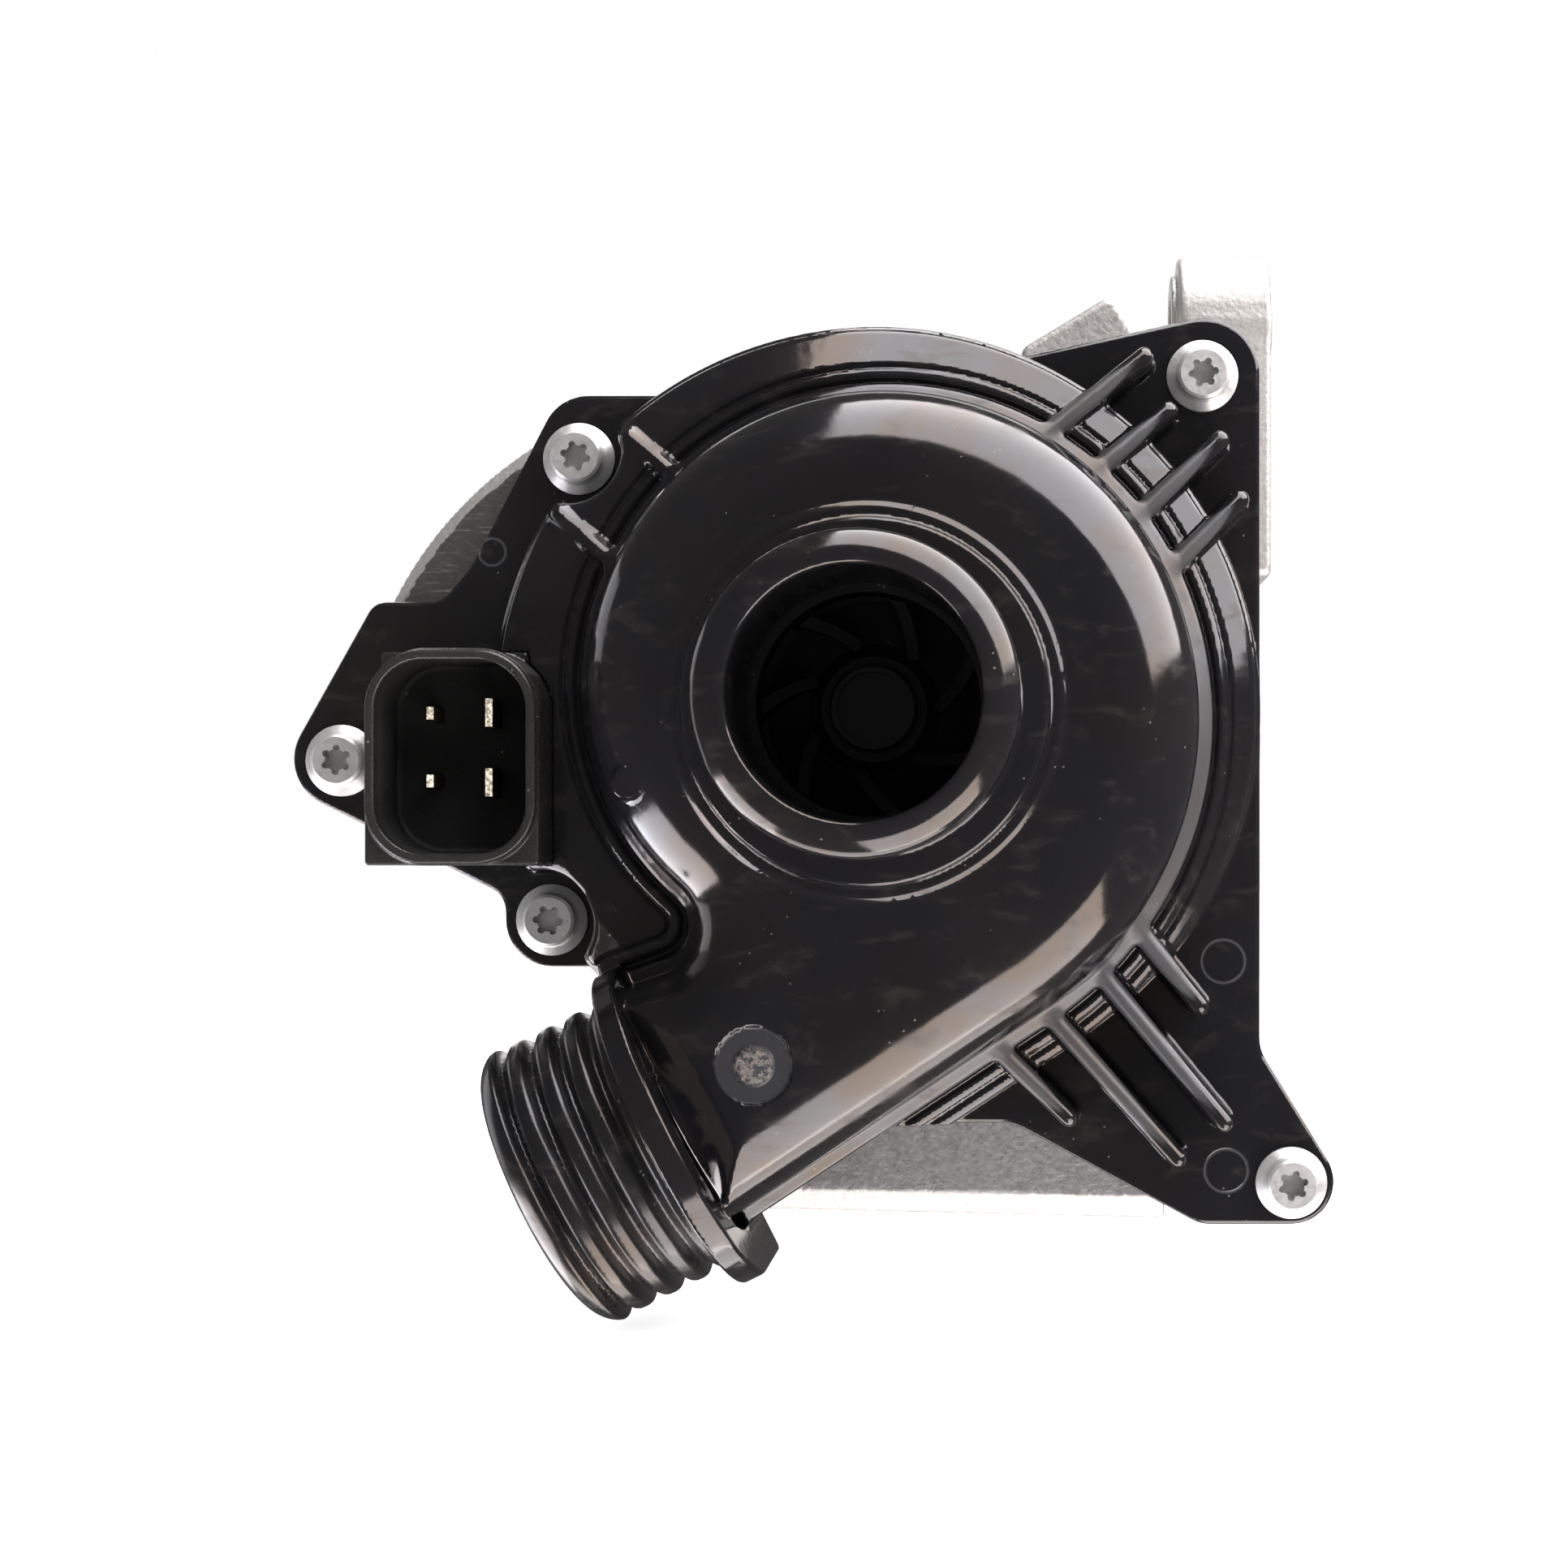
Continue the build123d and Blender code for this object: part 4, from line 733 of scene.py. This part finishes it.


class Finish:
    """A procedural material, built from the piece's own coordinates in millimetres."""

    def __init__(self, name, rough, metallic=0.0, ior=1.5):
        self.material = bpy.data.materials.new(name)
        self.material.use_nodes = True
        self.tree = self.material.node_tree
        self.shader = self.tree.nodes["Principled BSDF"]
        self.set("Roughness", rough)
        self.set("Metallic", metallic)
        self.set("IOR", ior)
        place = self.tree.nodes.new("ShaderNodeTexCoord")
        scaled = self.tree.nodes.new("ShaderNodeVectorMath")
        scaled.operation = "SCALE"
        scaled.inputs["Scale"].default_value = 1 / MM
        self.link(place.outputs["Object"], scaled.inputs[0])
        self.place = scaled.outputs[0]
        self.normal = None

    def link(self, a, b):
        self.tree.links.new(a, b)

    def set(self, name, value):
        self.shader.inputs[name].default_value = value

    def feed(self, socket, value):
        if isinstance(value, bpy.types.NodeSocket):
            self.link(value, socket)
        elif isinstance(value, tuple) and len(value) == 3 and socket.type == "RGBA":
            socket.default_value = (*value, 1)
        else:
            socket.default_value = value

    def use(self, name, value):
        self.feed(self.shader.inputs[name], value)

    def noise(self, size, detail=3.0, rough=0.55, stretch=None, distortion=0.0):
        node = self.tree.nodes.new("ShaderNodeTexNoise")
        node.inputs["Scale"].default_value = 1 / size
        node.inputs["Detail"].default_value = detail
        node.inputs["Roughness"].default_value = rough
        node.inputs["Distortion"].default_value = distortion
        place = self.place
        if stretch:
            mapping = self.tree.nodes.new("ShaderNodeMapping")
            mapping.inputs["Scale"].default_value = stretch
            self.link(self.place, mapping.inputs[0])
            place = mapping.outputs[0]
        self.link(place, node.inputs["Vector"])
        return node.outputs["Fac"]

    def cells(self, size, feature="F1"):
        node = self.tree.nodes.new("ShaderNodeTexVoronoi")
        node.feature = feature
        node.inputs["Scale"].default_value = 1 / size
        self.link(self.place, node.inputs["Vector"])
        return node.outputs["Distance"]

    def span(self, value, low, high, out_low=0.0, out_high=1.0):
        """Maps a value from one range to another, clamped, with soft ends."""
        node = self.tree.nodes.new("ShaderNodeMapRange")
        node.interpolation_type = "SMOOTHSTEP"
        for name, v in (("From Min", low), ("From Max", high), ("To Min", out_low),
                        ("To Max", out_high)):
            node.inputs[name].default_value = v
        self.link(value, node.inputs["Value"])
        return node.outputs["Result"]

    def math(self, operation, a, b=0.0):
        node = self.tree.nodes.new("ShaderNodeMath")
        node.operation = operation
        self.feed(node.inputs[0], a)
        self.feed(node.inputs[1], b)
        return node.outputs[0]

    def mix(self, amount, a, b):
        """Colour a where amount is 0, and b where it is 1."""
        node = self.tree.nodes.new("ShaderNodeMix")
        node.data_type = "RGBA"
        self.feed(node.inputs[0], amount)
        self.feed(node.inputs[6], a)
        self.feed(node.inputs[7], b)
        return node.outputs[2]

    def axis(self, name):
        node = self.tree.nodes.new("ShaderNodeSeparateXYZ")
        self.link(self.place, node.inputs[0])
        return node.outputs[name]

    def facing(self, name):
        """Component of the surface's own normal."""
        geometry = self.tree.nodes.new("ShaderNodeNewGeometry")
        node = self.tree.nodes.new("ShaderNodeSeparateXYZ")
        self.link(geometry.outputs["Normal"], node.inputs[0])
        return node.outputs[name]

    def from_axis(self, x, y):
        """Distance in plan from a point of the drawing."""
        node = self.tree.nodes.new("ShaderNodeSeparateXYZ")
        self.link(self.place, node.inputs[0])
        dx = self.math("SUBTRACT", node.outputs["X"], x)
        dy = self.math("SUBTRACT", node.outputs["Z"], y)
        return self.math("SQRT", self.math("ADD", self.math("MULTIPLY", dx, dx),
                                           self.math("MULTIPLY", dy, dy)))

    def inside_socket(self):
        """1 within the connector's opening in plan."""
        dx = self.math("SUBTRACT", self.axis("X"), sum(SOCKET_X) / 2)
        dy = self.math("SUBTRACT", self.axis("Z"), sum(SOCKET_Y) / 2)
        beyond_x = self.math("SUBTRACT", self.math("ABSOLUTE", dx),
                             (SOCKET_X[1] - SOCKET_X[0]) / 2 - SOCKET_WALL)
        beyond_y = self.math("SUBTRACT", self.math("ABSOLUTE", dy),
                             (SOCKET_Y[1] - SOCKET_Y[0]) / 2 - SOCKET_WALL)
        return self.span(self.math("MAXIMUM", beyond_x, beyond_y), 0.2, 0.0)

    def from_origin(self):
        node = self.tree.nodes.new("ShaderNodeVectorMath")
        node.operation = "LENGTH"
        self.link(self.place, node.inputs[0])
        return node.outputs["Value"]

    def bump(self, height, depth):
        """Bump of depth millimetres."""
        node = self.tree.nodes.new("ShaderNodeBump")
        node.inputs["Strength"].default_value = 1.0
        node.inputs["Distance"].default_value = depth * MM
        self.link(height, node.inputs["Height"])
        if self.normal:
            self.link(self.normal, node.inputs["Normal"])
        self.normal = node.outputs["Normal"]
        self.link(self.normal, self.shader.inputs["Normal"])


def dust(finish, colour, rough, amount):
    """Fine specks over a colour and a roughness."""
    specks = finish.span(finish.cells(1.9), 0.11, 0.07)
    patches = finish.span(finish.noise(11.0, 3), 0.54, 0.64, 0, amount)
    speck = finish.math("MULTIPLY", specks, patches)
    colour = finish.mix(speck, colour, (0.2, 0.185, 0.165))
    return colour, finish.math("ADD", rough, finish.math("MULTIPLY", speck, 0.5))


def moulding_marks(f, colour, rough):
    """Gate disc with its torn core, and the fine rings that ejector pins leave."""
    far = f.from_axis(*GATE_MARK)
    front = f.span(f.axis("Y"), 28.5, 27.5)
    disc = f.math("MULTIPLY", f.span(far, 5.5, 5.1), front)
    core = f.math("MULTIPLY", f.span(far, 3.0, 2.3), front)
    torn = f.noise(0.9, 5, 0.7)
    colour = f.mix(disc, colour, (0.015, 0.015, 0.017))
    broken = f.math("MULTIPLY", core, f.span(torn, 0.42, 0.58))
    colour = f.mix(broken, colour, (0.10, 0.085, 0.075))
    f.bump(f.math("MULTIPLY", core, torn), 0.5)
    for x, y, r in EJECTOR_MARKS:
        far = f.from_axis(x, y)
        line = f.math("MULTIPLY", f.span(far, r - 0.35, r), f.span(far, r + 0.35, r))
        line = f.math("MULTIPLY", line, f.span(f.axis("Y"), 58.0, 60.0))
        colour = f.mix(f.math("MULTIPLY", line, 0.5), colour, (0.05, 0.05, 0.055))
        f.bump(line, -0.08)
    return colour, f.math("ADD", rough, f.math("MULTIPLY", disc, 0.24))


def matte_and_painted_light_web_area(f):
    """1 on the upper part of the webs at the cover's right side: a duller skin, and painted light
    where the key light falls.
    """
    low, high = f.span(f.axis("Y"), *WEB_LOW), f.span(f.axis("Y"), *WEB_HIGH)
    matte_and_painted_light_web = f.math("MULTIPLY", f.math("MULTIPLY", low, high), f.span(f.from_axis(0, 0), 44, 46))
    return f.math("MULTIPLY", matte_and_painted_light_web, f.span(f.axis("X"), -4, 4))


def outlet_neck_area(f):
    along = f.math("ADD", f.math("MULTIPLY", f.axis("X"), FLOW[0]),
                   f.math("MULTIPLY", f.axis("Z"), FLOW[1]))
    return f.span(along, PLATE_FACE, PLATE_FACE + 1)


def black_plastic():
    """Glossy glass-filled plastic: faint flow marks, handling smears, a little dust, and painted
    light on the right-hand webs.
    """
    f = Finish("black_plastic", 0.13)
    cloud = f.noise(22.0, 4)
    colour = f.mix(cloud, (0.0028, 0.0028, 0.0036), (0.0062, 0.0058, 0.0060))
    smear = f.span(f.noise(9.0, 5, 0.62, (1.0, 1.0, 2.2), 0.6), 0.52, 0.74)
    rough = f.math("ADD", f.span(cloud, 0.3, 0.7, 0.09, 0.14), f.math("MULTIPLY", smear, 0.12))
    tint = f.mix(f.span(f.noise(18.0, 5, 0.6), 0.40, 0.62), (0.95, 0.95, 0.98), (0.98, 0.82, 0.70))
    f.use("Specular Tint", f.mix(smear, tint, (0.70, 0.62, 0.56)))
    colour = f.mix(f.math("MULTIPLY", smear, 0.35), colour, (0.022, 0.020, 0.019))
    colour, rough = moulding_marks(f, colour, rough)
    # Painted light: the right-hand webs get a lighter colour where the key light falls, as well as
    # a rougher skin.
    matte_and_painted_light_web = matte_and_painted_light_web_area(f)
    colour = f.mix(matte_and_painted_light_web, colour, (0.026, 0.026, 0.027))
    rough = f.math("ADD", rough, f.math("MULTIPLY", matte_and_painted_light_web, 0.26))
    rough = f.math("ADD", rough, f.math("MULTIPLY", outlet_neck_area(f), 0.12))
    colour, rough = dust(f, colour, rough, 0.25)
    f.use("Base Color", colour)
    f.use("Roughness", rough)
    f.bump(f.noise(6.0, 2), 0.05)
    f.bump(f.noise(0.55, 3), 0.0035)
    return f.material


def plain_plastic(name, dark, light, rough, socket=False):
    f = Finish(name, rough)
    cloud = f.noise(5.0, 4)
    grain = f.noise(0.4, 2)
    colour = f.mix(cloud, dark, light)
    # Painted shade: deep inside the socket the colour is darkened, and the surface made rougher.
    if socket:
        socket_painted_shade = f.math("MULTIPLY", f.inside_socket(), f.span(f.axis("Y"), 38.0, 41.0))
        colour = f.mix(socket_painted_shade, colour, (0.0015, 0.0015, 0.0014))
    colour, rough = dust(f, colour, f.span(grain, 0.3, 0.7, rough - 0.05, rough + 0.08), 0.4)
    if socket:
        rough = f.math("ADD", rough, f.math("MULTIPLY", socket_painted_shade, 0.4))
    f.use("Base Color", colour)
    f.use("Roughness", rough)
    f.bump(grain, 0.012)
    return f.material


def cast_aluminium():
    """Shot-blasted die casting, with milled faces where it seals and mounts; the milled faces carry
    painted light and shade, lighter at the bottom and darker at the top.
    """
    f = Finish("cast_aluminium", 0.5, 0.8)
    skin = f.noise(0.75, 4, 0.6)
    stain = f.noise(16.0, 4)
    colour = f.mix(stain, (0.33, 0.318, 0.305), (0.42, 0.408, 0.392))
    colour = f.mix(f.span(skin, 0.62, 0.75), colour, (0.25, 0.24, 0.23))
    rough = f.span(skin, 0.3, 0.7, 0.44, 0.60)
    y, x = f.axis("Y"), f.axis("X")
    front = f.math("MULTIPLY", f.span(f.facing("Y"), -0.90, -0.97), f.span(y, 68.2, 67.6))
    front = f.math("MULTIPLY", front, f.span(y, 66.4, 66.7))
    side = f.math("MULTIPLY", f.span(f.facing("X"), 0.95, 0.985), f.span(x, 59.5, 59.8))
    rear = f.math("MULTIPLY", f.span(f.facing("Y"), 0.95, 0.985), f.span(y, 150.5, 150.8))
    milled = f.math("MAXIMUM", f.math("MAXIMUM", front, side), rear)
    pores = f.span(f.noise(0.9, 5, 0.75), 0.50, 0.66)
    swirl = f.noise(1.2, 3, 0.6, (0.25, 1.0, 3.0))
    # Painted light and shade: the milled faces are lighter towards the bottom and darker towards
    # the top.
    upper = f.span(f.axis("Z"), -10, 10)
    milled_colour_and_painted_shade = f.mix(upper, (0.36, 0.355, 0.355), (0.115, 0.105, 0.10))
    milled_colour_and_painted_shade = f.mix(f.math("MULTIPLY", pores, 0.35), milled_colour_and_painted_shade, (0.09, 0.087, 0.085))
    milled_colour_and_painted_shade = f.mix(f.math("MULTIPLY", f.span(swirl, 0.55, 0.75), 0.35), milled_colour_and_painted_shade,
                       (0.58, 0.57, 0.56))
    colour = f.mix(milled, colour, milled_colour_and_painted_shade)
    rough = f.math("ADD", rough, f.math("MULTIPLY", milled, -0.10))
    f.use("Base Color", colour)
    f.use("Roughness", rough)
    f.bump(skin, 0.09)
    f.bump(f.noise(3.0, 2), 0.10)
    return f.material


def plated(name, dark, light, rough, scratches=0.5, metallic=1.0):
    """Bare or plated metal: cloudy colour, tool marks and small dark nicks."""
    f = Finish(name, rough, metallic)
    cloud = f.noise(2.2, 4)
    streak = f.noise(0.8, 4, 0.6, (1.0, 0.3, 1.0))
    colour = f.mix(cloud, dark, light)
    nick = f.math("MULTIPLY", f.span(f.noise(0.5, 4, 0.7), 0.60, 0.72), scratches)
    colour = f.mix(nick, colour, tuple(0.45 * c for c in dark))
    f.use("Base Color", colour)
    f.use("Roughness", f.math("ADD", f.span(streak, 0.3, 0.7, rough - 0.07, rough + 0.09),
                              f.math("MULTIPLY", nick, 0.2)))
    f.bump(streak, 0.02)
    return f.material


def tinned_contact():
    """Contact blade: bright sheared end; sides painted dark, as painted shade of the socket's
    interior.
    """
    f = Finish("tin_contact", 0.4, 0.25)
    grain = f.noise(0.55, 4, 0.75)
    end = f.span(f.facing("Y"), -0.6, -0.85)
    bright = f.mix(f.span(grain, 0.44, 0.58), (0.80, 0.75, 0.62), (0.24, 0.20, 0.13))
    # Painted shade: the blade's sides are dark as if shaded inside the socket.
    side = f.mix(f.noise(1.6, 3), (0.050, 0.044, 0.030), (0.095, 0.080, 0.055))
    f.use("Base Color", f.mix(end, side, bright))
    f.use("Metallic", f.span(end, 0, 1, 0.9, 0.15))
    f.use("Roughness", f.span(grain, 0.3, 0.7, 0.30, 0.46))
    f.bump(grain, 0.03)
    return f.material


def rubber(name):
    f = Finish(name, 0.62)
    f.use("Base Color", f.mix(f.noise(1.5, 4), (0.011, 0.011, 0.011), (0.026, 0.025, 0.024)))
    f.use("Roughness", f.span(f.noise(0.8, 3), 0.3, 0.7, 0.52, 0.72))
    f.bump(f.noise(0.3, 2), 0.02)
    return f.material


def layered(name, dark, light, rough, metallic, pitch):
    """Stacked sheets, turns of wire or pressed grains: fine lines along the axis."""
    f = Finish(name, rough, metallic)
    wave = f.math("SINE", f.math("MULTIPLY", f.axis("Y"), 2 * math.pi / pitch))
    lines = f.span(wave, -0.9, -0.2)
    colour = f.mix(f.noise(1.4, 3), dark, light)
    colour = f.mix(lines, tuple(0.35 * c for c in dark), colour)
    f.use("Base Color", colour)
    f.use("Roughness", f.span(f.noise(0.6, 3), 0.3, 0.7, rough - 0.06, rough + 0.1))
    f.bump(lines, 0.05)
    return f.material


def board_finish():
    """Solder mask over copper tracks."""
    f = Finish("board", 0.35)
    tracks = f.span(f.cells(3.4, "DISTANCE_TO_EDGE"), 0.05, 0.08)
    colour = f.mix(f.noise(6.0, 3), (0.010, 0.075, 0.030), (0.016, 0.105, 0.042))
    colour = f.mix(tracks, (0.03, 0.16, 0.06), colour)
    f.use("Base Color", colour)
    f.use("Roughness", f.span(f.noise(0.9, 3), 0.3, 0.7, 0.28, 0.42))
    f.bump(tracks, -0.035)
    return f.material


FINISHES = {
    "black_plastic": black_plastic(),
    "connector_plastic": plain_plastic("connector_plastic", (0.005, 0.005, 0.005),
                                       (0.014, 0.013, 0.012), 0.30, True),
    "carrier_plastic": plain_plastic("carrier_plastic", (0.02, 0.02, 0.02),
                                     (0.04, 0.04, 0.038), 0.4),
    "impeller_plastic": plain_plastic("impeller_plastic", (0.004, 0.004, 0.004),
                                      (0.009, 0.008, 0.008), 0.42),
    "insulator_plastic": plain_plastic("insulator_plastic", (0.42, 0.38, 0.30),
                                       (0.55, 0.50, 0.40), 0.45),
    "chip_plastic": plain_plastic("chip_plastic", (0.012, 0.012, 0.013),
                                  (0.028, 0.028, 0.028), 0.5),
    "board": board_finish(),
    "cast_aluminium": cast_aluminium(),
    "capacitor_can": plated("capacitor_can", (0.60, 0.60, 0.61), (0.74, 0.74, 0.75), 0.28),
    "steel": plated("steel", (0.40, 0.39, 0.38), (0.56, 0.55, 0.54), 0.3),
    "zinc_steel": plated("zinc_steel", (0.42, 0.415, 0.41), (0.58, 0.57, 0.565), 0.42, 0.7, 0.8),
    "stainless": plated("stainless", (0.50, 0.49, 0.47), (0.62, 0.61, 0.59), 0.26),
    "tin_contact": tinned_contact(),
    "lamination": layered("lamination", (0.16, 0.15, 0.14), (0.27, 0.26, 0.25), 0.45, 1.0, 0.7),
    "magnet": plated("magnet", (0.22, 0.22, 0.23), (0.34, 0.34, 0.35), 0.34),
    "copper_wire": layered("copper_wire", (0.45, 0.16, 0.06), (0.62, 0.25, 0.10), 0.28, 1.0, 0.9),
    "carbon": plain_plastic("carbon", (0.016, 0.016, 0.017), (0.045, 0.045, 0.047), 0.42),
    "ferrite": plain_plastic("ferrite", (0.03, 0.03, 0.032), (0.06, 0.058, 0.056), 0.5),
    "seal_rubber": rubber("seal_rubber"),
}


# ---- the pieces ---------------------------------------------------------------------

def piece(name, field, low, high, voxel, triangles, node, finish):
    obj = moulded(name, field, low, high, voxel, triangles)
    obj.data.materials.append(FINISHES[finish])
    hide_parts(node)
    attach(obj, "root")


piece("cover_body", cover, (-92, -90, -7.5), (75, 64, 62.5), 0.5, 190000,
      "volute_cover", "black_plastic")
piece("connector_body", connector, (-73, -24, -21.5), (-44, 10, 28.5), 0.35, 90000,
      "connector_shell", "connector_plastic")
piece("housing_casting", housing, (-92, -80, -92), (75, 76, -4), 0.75, 180000,
      "motor_housing", "cast_aluminium")
piece("rear_cover_casting", rear_cover, (-76, -57, -100.5), (57, 57, -88), 0.6, 90000,
      "rear_cover", "cast_aluminium")

for part in frame["record"]["subparts"]:
    for slot in frame["nodes"][part["node"]].material_slots:
        slot.material = FINISHES[part["material_slot"]]


# ---- stage, camera and lights -------------------------------------------------------

def stage_floor():
    """Pale floor just under the lowest point, glowing as painted light: dimmer near the object,
    brighter far off.
    """
    z = CAD_BOX[0][2] - 0.0005
    count = 24
    line = np.linspace(-3.0, 3.0, count + 1)
    points = np.array([(x, y, z) for x in line for y in line])
    corner = np.array([i * (count + 1) + j for i in range(count) for j in range(count)])
    faces = np.stack([corner, corner + count + 1, corner + count + 2, corner + 1], 1)
    mesh = mesh_from("floor", points, faces)
    floor = bpy.data.objects.new("floor", mesh)
    bpy.context.scene.collection.objects.link(floor)
    f = Finish("floor", 0.8)
    f.use("Base Color", f.mix(f.noise(300.0, 2), (0.80, 0.80, 0.81), (0.86, 0.86, 0.86)))
    # Painted light: the floor glows, less near the object so its shadow shows, more far off.
    f.set("Emission Color", (1, 1, 1, 1))
    f.use("Emission Strength", f.span(f.from_origin(), 250, 900, 0.62, 0.96))
    mesh.materials.append(f.material)
    floor.visible_glossy = False
    floor.visible_shadow = False


def softbox(name, azimuth, tilt, distance, width, height, radiance, colour):
    """Area light aimed at the object: azimuth from +x, tilt from the viewing axis."""
    across, up = polar(1, azimuth)
    toward, side = polar(1, tilt)
    z_axis = Vector((side * across, -toward, side * up))
    x_axis = Vector((-up, 0, across))
    y_axis = z_axis.cross(x_axis)
    light = bpy.data.lights.new(name, "AREA")
    light.shape = "RECTANGLE"
    light.size, light.size_y = width, height
    light.energy = radiance * math.pi * width * height
    light.color = colour
    obj = bpy.data.objects.new(name, light)
    turn = Matrix((x_axis, y_axis, z_axis)).transposed().to_4x4()
    obj.matrix_world = Matrix.Translation(Vector((0, 0.05, 0)) + z_axis * distance) @ turn
    obj.visible_camera = False
    bpy.context.scene.collection.objects.link(obj)


def studio():
    world = bpy.data.worlds.new("studio")
    bpy.context.scene.world = world
    world.use_nodes = True
    nodes, links = world.node_tree.nodes, world.node_tree.links
    dim = nodes["Background"]
    dim.inputs["Color"].default_value = (1.0, 0.97, 0.95, 1)
    dim.inputs["Strength"].default_value = 0.11
    white = nodes.new("ShaderNodeBackground")
    white.inputs["Color"].default_value = (1, 1, 1, 1)
    white.inputs["Strength"].default_value = 0.99
    path = nodes.new("ShaderNodeLightPath")
    mix = nodes.new("ShaderNodeMixShader")
    links.new(path.outputs["Is Glossy Ray"], mix.inputs[0])
    links.new(white.outputs[0], mix.inputs[1])
    links.new(dim.outputs[0], mix.inputs[2])
    world.cycles.sampling_method = "NONE"
    links.new(mix.outputs[0], nodes["World Output"].inputs["Surface"])
    softbox("key", 57, 84, 0.75, 1.50, 1.15, 8.0, (1.0, 0.97, 0.98))
    softbox("low_right", -62, 70, 0.70, 0.62, 0.60, 7.5, (1.0, 0.94, 0.91))
    softbox("low_left", 222, 95, 0.70, 0.36, 0.75, 9.0, (0.95, 0.94, 1.0))
    softbox("below", -92, 100, 0.60, 0.80, 0.25, 5.0, (1.0, 0.96, 0.94))
    softbox("left", 178, 120, 0.80, 0.60, 0.40, 1.2, (0.95, 0.95, 1.0))
    softbox("behind", 90, 160, 0.90, 0.80, 0.60, 2.0, (1.0, 1.0, 1.0))


def photo_camera():
    camera = bpy.data.objects.new("camera", bpy.data.cameras.new("camera"))
    bpy.context.scene.collection.objects.link(camera)
    camera.data.lens = 64.34
    camera.data.sensor_width = 36
    camera.data.shift_x = -0.1558
    camera.data.shift_y = 0.0311
    camera.location = (0.0222, -0.355, -0.0178)
    camera.rotation_euler = (math.pi / 2, 0, 0)
    bpy.context.scene.camera = camera
    bpy.context.scene.view_settings.view_transform = "Standard"


stage_floor()
studio()
photo_camera()
